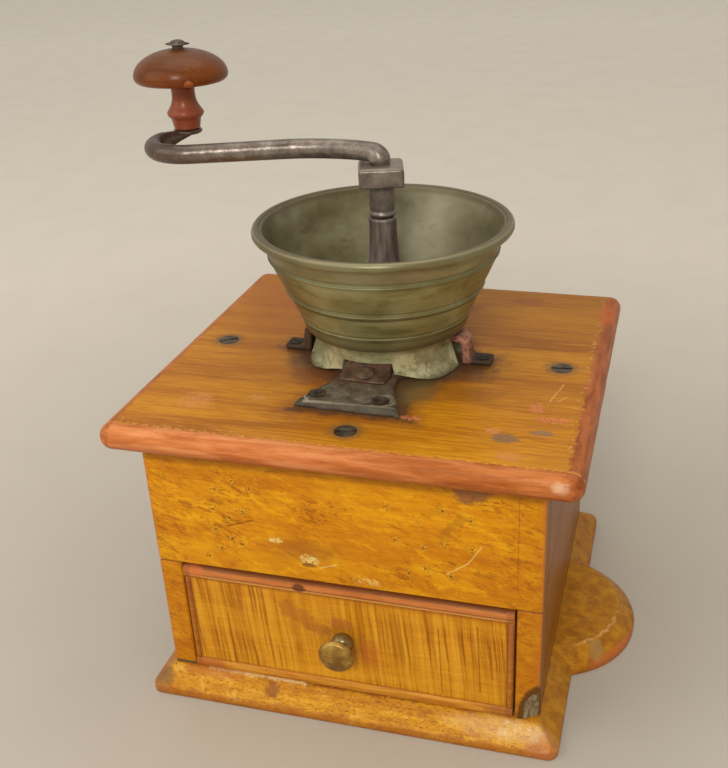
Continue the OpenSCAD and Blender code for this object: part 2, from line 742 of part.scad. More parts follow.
// One bead strip along X, its foot at z = 0, its nose a flat round
module bead_strip(len, h) {
    rotate([90, 0, 90]) linear_extrude(len, center = true) {
        nose = 0.9;
        polygon([[0, 0], [bead_depth, 0], [bead_depth, h], [0, h], [-bead_proud * 0.6, h - 0.3],
                 [-bead_proud, h - nose], [-bead_proud, nose], [-bead_proud * 0.6, 0.3]]);
    }
}

module drawer_beads() {
    len = 2 * drawer_half_w;
    tall = front_high - front_low - bead_foot - bead_top;
    color("#8e3f1f") {
        translate([0, front_y, front_high - bead_top]) bead_strip(len, bead_top);
        translate([0, front_y, front_low]) bead_strip(len, bead_foot);
        for (s = [-1, 1]) translate([s * (drawer_half_w - bead_end / 2) + bead_end / 2, front_y, front_low + bead_foot + tall / 2])
            rotate([0, -90, 0]) bead_strip(tall, bead_end);
    }
}

module drawer_side(s) {
    difference() {
        translate([s > 0 ? side_in : -drawer_half_w, front_back_y - 4, drawer_z])
            cube([drawer_side_t, drawer_end - front_back_y + 4, drawer_side_h]);
        translate([-side_in - groove, front_back_y - 5, floor_z])
            cube([2 * (side_in + groove), drawer_end - front_back_y + 10, floor_t]);
        nail_shapes();
    }
}

module drawer_left_side() { color("#a9803f") drawer_side(-1); }

module drawer_right_side() { color("#a9803f") drawer_side(1); }

module drawer_back() {
    color("#a07a3c") difference() {
        translate([-side_in, drawer_back_y, floor_z + floor_t])
            cube([2 * side_in, drawer_side_t, drawer_z + drawer_side_h - 1.5 - floor_z - floor_t]);
        nail_shapes();
    }
}

module drawer_bottom() {
    color("#9a7238") translate([-side_in - groove, front_back_y - groove, floor_z])
        cube([2 * (side_in + groove), drawer_back_y + drawer_side_t - front_back_y + groove - 0.5, floor_t]);
}

// Cut nails through the drawer's sides into its front and back
module nail_shapes() {
    for (s = [-1, 1], z = [24, 48], y = [front_back_y - 2, drawer_back_y + drawer_side_t / 2])
        translate([s * (drawer_half_w - 0.3), y, z]) rotate([0, -90 * s, 0]) {
            cylinder(r = 1.5, h = 1);
            cylinder(r = 0.8, h = drawer_side_t + 5);
        }
}

module drawer_nails() { color("#4a443e") nail_shapes(); }

module drawer_pull() {
    edge = pull_out - 3.2;
    color("#8c7a3a") translate([pull_x, front_y, pull_z]) rotate([90, 0, 0]) rotate_extrude()
        polygon(concat([[0, -drawer_front_t - 4], [2.2, -drawer_front_t - 4], [2.2, 0], [4, 0], [4.6, 0.8], [4.7, 2],
            [4.2, 3.4], [3.1, 4.5], [2.4, 5.6], [2.5, 7], [3.6, 8.2], [pull_r - 0.7, edge], [pull_r, edge + 0.5],
            [pull_r, edge + 1.1]], [for (i = [1:6]) let (a = i * 15) [pull_r * cos(a) * 0.985, edge + 1.1 + (pull_out - edge - 1.1) * sin(a)]]));
}

module pull_nut() {
    color("#6a5c33") difference() {
        translate([pull_x - 4.5, front_back_y, pull_z - 4.5]) cube([9, 3, 9]);
        translate([pull_x, front_back_y - cut, pull_z]) rotate([-90, 0, 0]) cylinder(r = 2.2, h = 4);
    }
}

base_board();
base_screws();
left_side_board();
right_side_board();
back_board();
upper_front_board();
left_post();
right_post();
top_board();
top_board_screws();
mill_plate();
plate_screws();
bearing_bridge();
bridge_rivets();
bridge_foot_screws();
hopper();
burr_ring();
burr_cone();
cone_pin();
shaft();
thrust_pad();
footstep_strap();
strap_screws();
adjusting_screw();
crank_head();
crank_arm();
knob_pin();
knob_washer();
knob();
drawer_front();
drawer_beads();
drawer_left_side();
drawer_right_side();
drawer_back();
drawer_bottom();
drawer_nails();
drawer_pull();
pull_nut();
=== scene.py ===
import json
import math

import bpy
from mathutils import Matrix, Vector, noise


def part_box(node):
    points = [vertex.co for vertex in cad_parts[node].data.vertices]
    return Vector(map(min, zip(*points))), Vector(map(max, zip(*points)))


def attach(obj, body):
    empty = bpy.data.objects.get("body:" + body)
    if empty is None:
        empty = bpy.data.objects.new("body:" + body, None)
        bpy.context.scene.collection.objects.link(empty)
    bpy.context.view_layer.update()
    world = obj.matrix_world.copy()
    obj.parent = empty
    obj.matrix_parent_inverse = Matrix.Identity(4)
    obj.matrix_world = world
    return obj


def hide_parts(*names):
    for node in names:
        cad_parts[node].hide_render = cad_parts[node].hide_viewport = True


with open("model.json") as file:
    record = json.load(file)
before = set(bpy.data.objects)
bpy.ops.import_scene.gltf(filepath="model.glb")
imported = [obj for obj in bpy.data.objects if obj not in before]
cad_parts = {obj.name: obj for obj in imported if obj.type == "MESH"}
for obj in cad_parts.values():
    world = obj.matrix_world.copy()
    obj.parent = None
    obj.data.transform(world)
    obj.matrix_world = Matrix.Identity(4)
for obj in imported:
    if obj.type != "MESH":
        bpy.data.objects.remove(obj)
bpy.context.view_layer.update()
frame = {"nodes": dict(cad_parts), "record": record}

MM = 0.001


def box_mm(node):
    """Lowest and highest corner of a CAD node, in millimetres."""
    low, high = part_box(node)
    return low / MM, high / MM


# Levels and faces, read from the frame

BASE_LOW, BASE_HIGH = box_mm("base_board")
TOP_LOW, TOP_HIGH = box_mm("top_board")
FRONT_LOW, FRONT_HIGH = box_mm("upper_front_board")
HEAD_LOW, HEAD_HIGH = box_mm("crank_head")
KNOB_LOW, KNOB_HIGH = box_mm("knob")
BEADS_LOW, BEADS_HIGH = box_mm("drawer_beads")
DECK = TOP_HIGH.z
PLATE_TOP = box_mm("mill_plate")[1].z
BASE_TOP = FRONT_LOW.z - 56
CASE_X = FRONT_HIGH.x
FRONT_Y = FRONT_LOW.y
BAY_TOP = FRONT_LOW.z
EAR_X, EAR_Y, EAR_R = 73, 2, 42
TOP_SCREWS = ((2.6, -70), (2, 72.5), (-75.5, 0), (76, 0))
KNOB_AT = ((KNOB_LOW.x + KNOB_HIGH.x) / 2, (KNOB_LOW.y + KNOB_HIGH.y) / 2)
PULL_LOW, PULL_HIGH = box_mm("drawer_pull")
PULL_X = (PULL_LOW.x + PULL_HIGH.x) / 2
PULL_Z = (PULL_LOW.z + PULL_HIGH.z) / 2
BACK_Y = box_mm("back_board")[1].y
BEAD_END, BEAD_FOOT, BEAD_TOP = 2.6, 4.8, 5.4
GOLD_TINT = (1.0, 0.80, 0.44, 1.0)
TORN_AT = (CASE_X + 4, FRONT_Y - 4, BASE_TOP + 1)
TORN_REACH = (13, 8.5, 20)


# Small tools

def tone(red, green, blue):
    """A linear colour from the 0 to 255 values that a screen shows."""
    def linear(value):
        share = value / 255
        return share / 12.92 if share < 0.04045 else ((share + 0.055) / 1.055) ** 2.4
    return linear(red), linear(green), linear(blue), 1.0


def wave(x, y, z, size, seed=0.0):
    """Smooth noise from -1 to 1 whose lumps are about size millimetres wide."""
    return noise.noise(Vector((x / size + seed, y / size - seed, z / size + 2 * seed)))


def between(value, low, high):
    return min(max(value, low), high)


def piece(name, mesh, body, slot, *nodes):
    """Links a mesh as a piece that rides on a body, has its slot's material and stands for CAD nodes."""
    made = bpy.data.objects.new(name, mesh)
    bpy.context.scene.collection.objects.link(made)
    mesh.materials.clear()
    mesh.materials.append(MATERIALS[slot])
    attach(made, body)
    if nodes:
        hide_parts(*nodes)
    return made


def mesh_from(points, faces, sharp=40):
    """A mesh in metres from points in millimetres, smooth but for edges sharper than an angle."""
    mesh = bpy.data.meshes.new("shape")
    mesh.from_pydata([(x * MM, y * MM, z * MM) for x, y, z in points], [], faces)
    mesh.validate()
    soften(mesh, sharp)
    return mesh


def soften(mesh, sharp):
    mesh.shade_smooth()
    mesh.set_sharp_from_angle(angle=math.radians(sharp))


def apply_modifiers(obj):
    """Makes what the modifiers show the object's own mesh."""
    graph = bpy.context.evaluated_depsgraph_get()
    made = bpy.data.meshes.new_from_object(obj.evaluated_get(graph))
    obj.modifiers.clear()
    obj.data = made


def combine(obj, operation, mesh):
    """Takes the shape of a mesh away from a piece, or joins it on."""
    tool = bpy.data.objects.new("tool", mesh)
    bpy.context.scene.collection.objects.link(tool)
    change = obj.modifiers.new("change", "BOOLEAN")
    change.operation = operation
    change.solver = "EXACT"
    change.object = tool
    apply_modifiers(obj)
    bpy.data.objects.remove(tool)


def cut(obj, mesh, sharp=40):
    combine(obj, "DIFFERENCE", mesh)
    soften(obj.data, sharp)


# Shapes

def skin(rows, around=True, ends=True):
    """Points and faces through rows of points. Each row has the same count, and may close on itself."""
    count = len(rows[0])
    points = [p for row in rows for p in row]
    faces = []
    for k in range(len(rows) - 1):
        for i in range(count if around else count - 1):
            j = (i + 1) % count
            faces.append((k * count + i, k * count + j, (k + 1) * count + j, (k + 1) * count + i))
    if ends:
        faces.append(tuple(reversed(range(count))))
        faces.append(tuple((len(rows) - 1) * count + i for i in range(count)))
    return points, faces


def revolve(profile, sides, shape=None, centre=(0, 0), sharp=40):
    """Turns a profile of radius and height round an upright axis. Points on the axis close it."""
    rows = []
    for r, z in profile:
        row = []
        for i in range(sides):
            turn = 2 * math.pi * i / sides
            radius, height = shape(r, z, turn) if shape else (r, z)
            row.append((centre[0] + radius * math.cos(turn), centre[1] + radius * math.sin(turn), height))
        rows.append(row)
    closed = profile[0] == profile[-1]
    points, faces = skin(rows[:-1] if closed else rows, ends=False)
    count = len(rows) - 1 if closed else len(rows)
    if closed:
        last = (count - 1) * sides
        faces += [(last + i, last + (i + 1) % sides, (i + 1) % sides, i) for i in range(sides)]
    else:
        faces.append(tuple(reversed(range(sides))))
        faces.append(tuple((count - 1) * sides + i for i in range(sides)))
    return mesh_from(points, faces, sharp)


def arc(centre, radius, start, end, steps):
    """Points along a round, in degrees, both ends taken in."""
    turns = [math.radians(start + (end - start) * k / steps) for k in range(steps + 1)]
    return [(centre[0] + radius * math.cos(t), centre[1] + radius * math.sin(t)) for t in turns]


def grid_lines(low, high, round_r, spacing, arc_steps=4):
    """Stations across a block: close ones where its edges are round, then even ones."""
    reach = [round_r * math.tan(math.radians(45 * k / arc_steps)) for k in range(arc_steps + 1)]
    flat = high - low - 2 * round_r
    count = max(1, round(flat / spacing))
    lines = [low + round_r - a for a in reach] + [high - round_r + a for a in reach]
    lines += [low + round_r + flat * k / count for k in range(1, count)]
    return sorted(set(round(v, 5) for v in lines))


def rounded_block(low, high, round_r, spacing, wear=None, sharp=40):
    """A block with round edges. wear(point, out) gives how far a point sinks below its place."""
    lines = [grid_lines(low[a], high[a], round_r, spacing) for a in range(3)]
    inner_low = [v + round_r for v in low]
    inner_high = [v - round_r for v in high]
    index = {}
    points = []
    faces = []

    def vertex(p):
        key = tuple(round(v, 4) for v in p)
        if key not in index:
            core = Vector([between(p[a], inner_low[a], inner_high[a]) for a in range(3)])
            out = (Vector(p) - core).normalized()
            placed = core + out * round_r
            if wear:
                placed -= out * wear(placed, out)
            index[key] = len(points)
            points.append(tuple(placed))
        return index[key]

    for axis in range(3):
        b, c = (axis + 1) % 3, (axis + 2) % 3
        for side in (0, 1):
            level = (low, high)[side][axis]
            for i in range(len(lines[b]) - 1):
                for j in range(len(lines[c]) - 1):
                    ring = []
                    for u, v in ((i, j), (i + 1, j), (i + 1, j + 1), (i, j + 1)):
                        p = [0, 0, 0]
                        p[axis] = level
                        p[b] = lines[b][u]
                        p[c] = lines[c][v]
                        ring.append(vertex(p))
                    faces.append(tuple(ring if side else reversed(ring)))
    return mesh_from(points, faces, sharp)


def cylinder(r1, r2, low, high, at, sides=32):
    """A cone or cylinder to cut with."""
    rows = [[(at[0] + r * math.cos(2 * math.pi * i / sides), at[1] + r * math.sin(2 * math.pi * i / sides), z)
             for i in range(sides)] for r, z in ((r1, low), (r2, high))]
    points, faces = skin(rows)
    return mesh_from(points, faces)


def blob(centre, reach, lumps, seed):
    """A lumpy ball to cut with. reach is its half size along X, Y and Z."""
    rows = []
    rings = 40
    for k in range(1, rings):
        lean = math.pi * k / rings
        row = []
        for i in range(64):
            turn = 2 * math.pi * i / 64
            out = Vector((math.sin(lean) * math.cos(turn), math.sin(lean) * math.sin(turn), -math.cos(lean)))
            share = 1 + lumps * wave(*(out * 10), 2.6, seed) + 0.7 * lumps * wave(*(out * 10), 0.9, seed + 3)
            row.append(tuple(centre[a] + reach[a] * share * out[a] for a in range(3)))
        rows.append(row)
    return mesh_from(*skin(rows), sharp=60)


def cast(name, node, body, slot, voxel, passes=4, rough=0.0, lump=2.0):
    """A cast or forged piece: the CAD shape with its corners softened and its faces uneven."""
    made = piece(name, frame["nodes"][node].data.copy(), body, slot, node)
    grain = made.modifiers.new("grain", "REMESH")
    grain.mode = "VOXEL"
    grain.voxel_size = voxel * MM
    even = made.modifiers.new("even", "SMOOTH")
    even.factor = 0.5
    even.iterations = passes
    apply_modifiers(made)
    mesh = made.data
    mesh.materials.clear()
    mesh.materials.append(MATERIALS[slot])
    if rough:
        outs = [v.normal.copy() for v in mesh.vertices]
        for v, out in zip(mesh.vertices, outs):
            p = v.co / MM
            sink = rough * (0.5 + 0.5 * wave(p.x, p.y, p.z, lump))
            sink += 0.4 * rough * abs(wave(p.x, p.y, p.z, 0.4 * lump, 5))
            v.co -= out * sink * MM
    soften(mesh, 180)
    return made


# Materials

def linear_tone(colour):
    """A colour given as 0 to 255 values, made linear. A colour of the graph stays as it is."""
    return tone(*colour) if isinstance(colour, tuple) and len(colour) == 3 else colour


class Number:
    """A number in a material's graph that takes plain arithmetic."""

    def __init__(self, shade, socket):
        self.shade = shade
        self.socket = socket

    def __add__(self, other):
        return self.shade.math("ADD", self, other)

    def __sub__(self, other):
        return self.shade.math("SUBTRACT", self, other)

    def __rsub__(self, other):
        return self.shade.math("SUBTRACT", other, self)

    def __mul__(self, other):
        return self.shade.math("MULTIPLY", self, other)

    __radd__ = __add__
    __rmul__ = __mul__


class Shade:
    """A material under construction: colour, roughness and height are painted layer by layer."""

    def __init__(self, name, colour, rough):
        self.material = bpy.data.materials.new(name)
        self.material.use_nodes = True
        self.tree = self.material.node_tree
        self.skin = self.tree.nodes["Principled BSDF"]
        place = self.node("TexCoord").outputs["Object"]
        self.place = self.vector("SCALE", place, scale=1 / MM)
        parts = self.node("SeparateXYZ")
        self.feed(parts.inputs[0], self.place)
        self.x, self.y, self.z = (Number(self, out) for out in parts.outputs)
        self.colour = colour
        self.rough = rough
        self.height = 0.0

    def node(self, kind, **settings):
        made = self.tree.nodes.new("ShaderNode" + kind)
        for key, value in settings.items():
            setattr(made, key, value)
        return made

    def feed(self, socket, value):
        if isinstance(value, Number):
            value = value.socket
        if isinstance(value, bpy.types.NodeSocket):
            self.tree.links.new(value, socket)
        else:
            socket.default_value = value

    def math(self, operation, a, b=0.0, c=0.0):
        made = self.node("Math", operation=operation)
        for socket, value in zip(made.inputs, (a, b, c)):
            self.feed(socket, value)
        return Number(self, made.outputs[0])

    def vector(self, operation, a, b=None, scale=None):
        made = self.node("VectorMath", operation=operation)
        self.feed(made.inputs[0], a)
        if b is not None:
            self.feed(made.inputs[1], b)
        if scale is not None:
            self.feed(made.inputs["Scale"], scale)
        if operation in ("DISTANCE", "LENGTH", "DOT_PRODUCT"):
            return Number(self, made.outputs["Value"])
        return made.outputs["Vector"]

    def least(self, *values):
        found = values[0]
        for value in values[1:]:
            found = self.math("MINIMUM", found, value)
        return found

    def most(self, *values):
        found = values[0]
        for value in values[1:]:
            found = self.math("MAXIMUM", found, value)
        return found

    def size(self, value):
        return self.math("ABSOLUTE", value)

    def stretched(self, x, y, z, turn=(0, 0, 0)):
        """The place, turned by degrees about the axes, then scaled: small numbers make long features."""
        if any(turn):
            made = self.node("VectorRotate", rotation_type="EULER_XYZ")
            self.feed(made.inputs["Vector"], self.place)
            self.feed(made.inputs["Rotation"], [math.radians(a) for a in turn])
            return self.vector("MULTIPLY", made.outputs[0], (x, y, z))
        return self.vector("MULTIPLY", self.place, (x, y, z))

    def noise(self, where, detail=2.0, rough=0.5, twist=0.0, shift=0.0):
        """Noise from 0 to 1. where is a place, lumps per millimetre or what stretched takes."""
        if isinstance(where, tuple):
            where = self.stretched(*where)
        elif not isinstance(where, bpy.types.NodeSocket):
            where = self.stretched(where, where, where)
        if shift:
            where = self.vector("ADD", where, (shift, 2.3 * shift, -1.7 * shift))
        made = self.node("TexNoise")
        self.feed(made.inputs["Vector"], where)
        self.feed(made.inputs["Scale"], 1.0)
        self.feed(made.inputs["Detail"], detail)
        self.feed(made.inputs["Roughness"], rough)
        self.feed(made.inputs["Distortion"], twist)
        return Number(self, made.outputs[0])

    def step(self, low, high, value):
        """0 below low, 1 above high and smooth between them. low may be the higher number."""
        made = self.node("MapRange", interpolation_type="SMOOTHSTEP")
        flip = low > high
        self.feed(made.inputs["Value"], value)
        self.feed(made.inputs["From Min"], min(low, high))
        self.feed(made.inputs["From Max"], max(low, high))
        self.feed(made.inputs["To Min"], 1.0 if flip else 0.0)
        self.feed(made.inputs["To Max"], 0.0 if flip else 1.0)
        return Number(self, made.outputs[0])

    def ramp(self, value, *stops):
        made = self.node("ValToRGB")
        band = made.color_ramp
        while len(band.elements) < len(stops):
            band.elements.new(1.0)
        for element, (position, colour) in zip(band.elements, stops):
            element.position = position
            element.color = linear_tone(colour)
        self.feed(made.inputs[0], value)
        return made.outputs["Color"]

    def blend(self, share, a, b):
        """One colour or place where share is 0, the other where it is 1."""
        made = self.node("Mix", data_type="RGBA")
        self.feed(made.inputs["Factor"], share)
        self.feed(made.inputs[6], linear_tone(a))
        self.feed(made.inputs[7], linear_tone(b))
        return made.outputs[2]

    def paint(self, share, colour=None, rough=None, height=None):
        """Lays a colour, a roughness and a height in millimetres where share is 1."""
        if colour is not None:
            self.colour = self.blend(share, self.colour, colour)
        if rough is not None:
            self.rough = share * rough + (1 - share) * self.rough if isinstance(self.rough, Number) \
                else share * (rough - self.rough) + self.rough
        if height is not None:
            self.height = share * height + self.height

    def ragged(self, amount, lumps=0.5, shift=0.0):
        """A number about zero, as large as amount, that frays an outline."""
        return (self.noise(lumps, detail=3, rough=0.6, shift=shift) - 0.5) * (2 * amount)

    def shaken(self, amount, lumps, shift=0.0):
        """The place, moved about by noise so that what is measured from it comes out torn."""
        made = self.node("TexNoise")
        self.feed(made.inputs["Vector"], self.vector("ADD", self.stretched(lumps, lumps, lumps),
                                                     (shift, shift, shift)))
        self.feed(made.inputs["Scale"], 1.0)
        self.feed(made.inputs["Detail"], 2.0)
        away = self.vector("SUBTRACT", made.outputs["Color"], (0.5, 0.5, 0.5))
        return self.vector("ADD", self.place, self.vector("SCALE", away, scale=4 * amount))

    def patches(self, *rows):
        """Ragged patches: centre, reach, fray, softness, lumps, share and colour."""
        for centre, reach, fray, soft, lumps, share, colour in rows:
            self.paint(self.spot(centre, reach, fray, soft, lumps) * share, colour)

    def scrapes(self, *rows):
        """Scraped patches: centre, reach, share and colour."""
        for centre, reach, share, colour in rows:
            self.paint(self.scrape(centre, reach) * share, colour)

    def scrape(self, centre, reach):
        """A patch whose colour came off in crumbs."""
        crumbs = self.step(0.42, 0.52, self.noise(0.9, detail=3, rough=0.7, shift=centre[0]))
        return self.spot(centre, reach, fray=0.9, soft=0.5, lumps=0.8) * crumbs

    def spot(self, centre, reach, fray=0.5, soft=0.4, lumps=0.4, shift=0.0):
        """A ragged patch: 1 inside. reach is its half size along X, Y and Z."""
        away = self.vector("SUBTRACT", self.place, centre)
        shrunk = self.vector("MULTIPLY", away, tuple(1 / r for r in reach))
        distance = self.vector("LENGTH", shrunk)
        return self.step(1 + soft / 2, 1 - soft / 2, distance + self.ragged(fray, lumps, shift + centre[0]))

    def streak(self, start, end, width, fray=0.3, lumps=1.0):
        """A thin line from start to end: 1 on it."""
        start = Vector(start)
        way = Vector(end) - start
        away = self.vector("SUBTRACT", self.place, tuple(start))
        share = self.vector("DOT_PRODUCT", away, tuple(way / way.length_squared))
        share = self.least(self.most(share, 0.0), 1.0)
        on_line = self.vector("SCALE", tuple(way), scale=share)
        distance = self.vector("DISTANCE", away, on_line)
        return self.step(width, 0.35 * width, distance + self.ragged(fray * width, lumps, start.x))

    def finish(self, metal=0.0, coat=0.0, coat_rough=0.1, specular=0.5, tint=(1.0, 1.0, 1.0, 1.0), depth=1.0):
        self.feed(self.skin.inputs["Base Color"], self.colour)
        self.feed(self.skin.inputs["Roughness"], self.rough)
        self.skin.inputs["Metallic"].default_value = metal
        self.skin.inputs["Coat Weight"].default_value = coat
        self.skin.inputs["Coat Roughness"].default_value = coat_rough
        self.skin.inputs["Specular IOR Level"].default_value = specular
        self.skin.inputs["Specular Tint"].default_value = tint
        if isinstance(self.height, Number):
            bump = self.node("Bump")
            bump.inputs["Strength"].default_value = depth
            bump.inputs["Distance"].default_value = MM
            self.feed(bump.inputs["Height"], self.height)
            self.feed(self.skin.inputs["Normal"], bump.outputs[0])
        return self.material


AXES = {"X": (1, 0, 0), "Y": (0, 1, 0), "Z": (0, 0, 1)}


def wood(name, grain, dark, middle, light, shift=0.0, rough=0.45, contrast=0.1, crossed=None):
    """Plain shellacked wood with its fibres along one axis, or along X where crossed gives 1."""
    s = Shade(name, middle, rough)

    def fibres(along, across):
        here = s.stretched(*(along if r else across for r in AXES[grain]))
        return s.blend(crossed(s), here, s.stretched(along, across, across)) if crossed else here

    bands = s.noise(fibres(0.006, 0.07), detail=3, twist=0.5, shift=shift)
    strands = s.noise(fibres(0.035, 0.8), detail=4, rough=0.65, shift=shift)
    fine = s.noise(fibres(0.16, 3.2), detail=2, shift=shift)
    mixed = bands * 0.5 + strands * 0.35 + fine * 0.15
    s.colour = s.ramp(mixed, (0.5 - contrast, dark), (0.5, middle), (0.5 + contrast, light))
    pores = s.step(0.62, 0.74, s.noise(fibres(0.3, 4.5), detail=1, shift=shift + 3))
    s.paint(pores * 0.35, dark)
    s.height = fine * 0.05 + strands * 0.06 + pores * -0.05
    return s


def eyes_at(s, places):
    """Bird's eyes on the front: a torn dark dot and a hooked line in a faint pale ring."""
    here = s.shaken(0.8, 0.7, 4)
    near = None
    for x, z in places:
        far = s.vector("DISTANCE", here, (x, FRONT_Y, z))
        near = far if near is None else s.least(near, far)
    torn = s.noise(0.9, detail=3, rough=0.6, shift=6)
    s.paint(s.step(2.7, 1.5, near) * s.step(0.5, 1.1, near) * s.step(0.40, 0.55, torn) * 0.3, (234, 184, 48))
    s.paint(s.step(1.1, 1.5, near) * s.step(2.1, 1.7, near) * s.step(0.56, 0.46, torn) * 0.6, (140, 80, 10))
    s.paint(s.step(0.75, 0.3, near) * 0.8, (84, 50, 14), height=-0.1)


def worn_edge(s, distance, width, colour, shift=0.0, share=0.9):
    """Rubbed colour along an edge, ragged where it ends."""
    s.paint(s.step(width, 0.3 * width, distance + s.ragged(0.7 * width, 0.6, shift)) * share, colour)


def varnish(s, coat=0.05, coat_rough=0.2, specular=0.34):
    """Old amber shellac: faint ripples over the wood, and a warm gloss."""
    s.height = s.height + s.noise(0.13, detail=2, shift=11) * 0.22
    return s.finish(coat=coat, coat_rough=coat_rough, specular=specular, tint=GOLD_TINT)


FRONT_EYES = ((-43, 111), (-36, 108), (-51, 106), (-59, 100), (-53, 97), (-40, 97), (-46, 93), (-53, 87),
              (-46, 83), (-42, 81), (-51, 78), (-57, 73), (20, 108), (23, 93), (34, 91), (43, 94),
              (53, 93), (42, 109), (53, 106), (28, 78), (35, 81), (45, 79), (32, 103))


def torn_corner(s):
    """Distance from the middle of the place where the right post's foot is broken away."""
    shrunk = s.vector("MULTIPLY", s.vector("SUBTRACT", s.place, TORN_AT), tuple(1 / r for r in TORN_REACH))
    return s.vector("LENGTH", shrunk)


def bare_wood(s):
    return s.ramp(s.noise((0.7, 0.7, 0.16), detail=4, rough=0.6),
                  (0.34, (84, 66, 42)), (0.5, (130, 113, 84)), (0.64, (162, 147, 116)))


def front_material():
    """Bird's-eye maple of the front board and the posts."""
    s = wood("birds_eye_maple", "X", (192, 116, 3), (208, 136, 4), (222, 154, 8), shift=1)
    broad = s.noise((0.016, 0.028, 0.028, (0, -12, 0)), detail=2, shift=14)
    s.paint(s.step(0.46, 0.62, broad) * 0.45, (188, 110, 4))
    s.paint(s.step(100, 70, s.z) * 0.3, (186, 112, 5))
    wisps = s.noise((0.06, 0.15, 0.15, (0, -14, 0)), detail=4, rough=0.6, twist=0.6, shift=2)
    s.paint(s.step(0.50, 0.64, wisps) * 0.35, (176, 98, 4))
    s.paint(s.step(0.48, 0.38, wisps) * 0.35, (232, 172, 12))
    # Mottles stand in groups, and close together along the upper edge
    groups = s.step(0.45, 0.60, s.noise((0.035, 0.055, 0.055, (0, -14, 0)), detail=3, shift=31))
    groups = s.most(groups, s.step(116, 125, s.z) * 0.8, s.step(62, 72, s.size(s.x)) * 0.8)
    strokes = s.noise((0.15, 0.40, 0.40, (0, -20, 0)), detail=5, rough=0.72, twist=0.7, shift=7)
    s.paint(s.step(0.52, 0.61, strokes) * (groups * 0.6 + 0.14), (144, 78, 5))
    s.paint(s.step(0.44, 0.35, strokes) * 0.3, (242, 188, 26))
    fine = s.noise((0.5, 1.3, 1.3, (0, -20, 0)), detail=2, shift=12)
    s.paint(s.step(0.56, 0.66, fine) * (groups * 0.4 + 0.1), (142, 78, 8))
    s.height = s.height + wisps * 0.05
    # Painted shadow cast by the top board's overhang: a darker band across the top of the front boards
    s.paint(s.step(TOP_LOW.z - 7.4, TOP_LOW.z - 5.2, s.z + s.ragged(0.5, 0.3)) * 0.5, (118, 64, 6))
    eyes_at(s, FRONT_EYES)
    face = FRONT_Y
    s.patches(((-14, face, 82), (17, 4, 5), 0.5, 0.9, 0.12, 0.5, (150, 82, 22)),
              ((53, face, 118.5), (7, 4, 5), 0.7, 0.6, 0.4, 0.75, (112, 66, 48)))
    pale = (222, 190, 112)
    s.paint(s.scrape((-13, face, 77.4), (3.8, 3, 2.6)), pale, rough=0.6, height=-0.1)
    s.paint(s.spot((-13.5, face, 75), (3, 3, 1), fray=0.8, soft=0.3, lumps=1.2) * 0.7, (96, 56, 20))
    s.scrapes(((-27, face, 85), (2.8, 3, 1.1), 1, pale),
              ((11, face, 70.6), (5, 3, 1.8), 1, (216, 170, 84)))
    s.paint(s.streak((-9, face, 74.3), (-1.5, face, 77), 0.4, fray=0.9) * 0.7, pale, height=-0.08)
    s.paint(s.streak((57, face, 94.8), (52, face, 86.5), 0.36, fray=0.9) * 0.6, pale, height=-0.08)
    s.paint(s.streak((52, face, 86.5), (43.5, face, 80), 0.42, fray=0.9) * 0.6, pale, height=-0.08)
    s.paint(s.streak((-47, face, 89.2), (-35.4, face, 93.5), 0.45, fray=0.8, lumps=0.6) * 0.7,
            (118, 66, 10), height=-0.1)
    s.paint(s.streak((50, face, 106.5), (41, face, 97), 2.6, fray=1.6, lumps=0.35) * 0.4, (138, 76, 14))
    s.paint(s.streak((71, face, 122), (71, face, 77), 0.3, fray=0.9) * 0.45, (90, 50, 10))
    s.paint(s.step(BAY_TOP + 1, BAY_TOP - 1, s.z) * 0.25, (170, 94, 12))
    s.paint(s.step(60, 80, s.x) * 0.3, (172, 100, 6))
    # The boards' ends are part of the sides, and only the corners are rubbed
    from_side = CASE_X - s.size(s.x)
    s.paint(s.step(0.5, 0.3, from_side) * s.step(0.6, 1.4, s.y - FRONT_Y) * 0.8, (132, 76, 16))
    worn_edge(s, from_side + s.y - FRONT_Y, 1.7, (190, 108, 44), shift=5, share=0.6)
    seam = s.step(0.6, 0.2, s.size(s.z - BAY_TOP)) * s.step(66, 68, s.size(s.x))
    s.paint(seam * 0.7, (120, 60, 18))
    foot = s.size(s.z - (BASE_TOP + 1.3))
    s.paint(s.step(1.2, 0.5, foot) * s.step(-70, -72, s.x), (92, 74, 44), rough=0.6)
    torn = torn_corner(s)
    s.paint(s.step(1.16, 1.06, torn + s.ragged(0.06, 0.6)) * 0.85, (66, 40, 16))
    deep = s.least(s.y - FRONT_Y, CASE_X - s.x)
    s.paint(s.step(0.25, 0.6, deep) * s.step(1.4, 1.3, torn), bare_wood(s), rough=0.9)
    # Darker deep in the broken corner: a crack line and painted shade in the hollow
    s.paint(s.step(3.4, 5.4, deep + s.ragged(1.2, 0.4)) * s.step(1.4, 1.3, torn) * 0.7, (48, 34, 20),
            rough=0.9)
    return varnish(s)


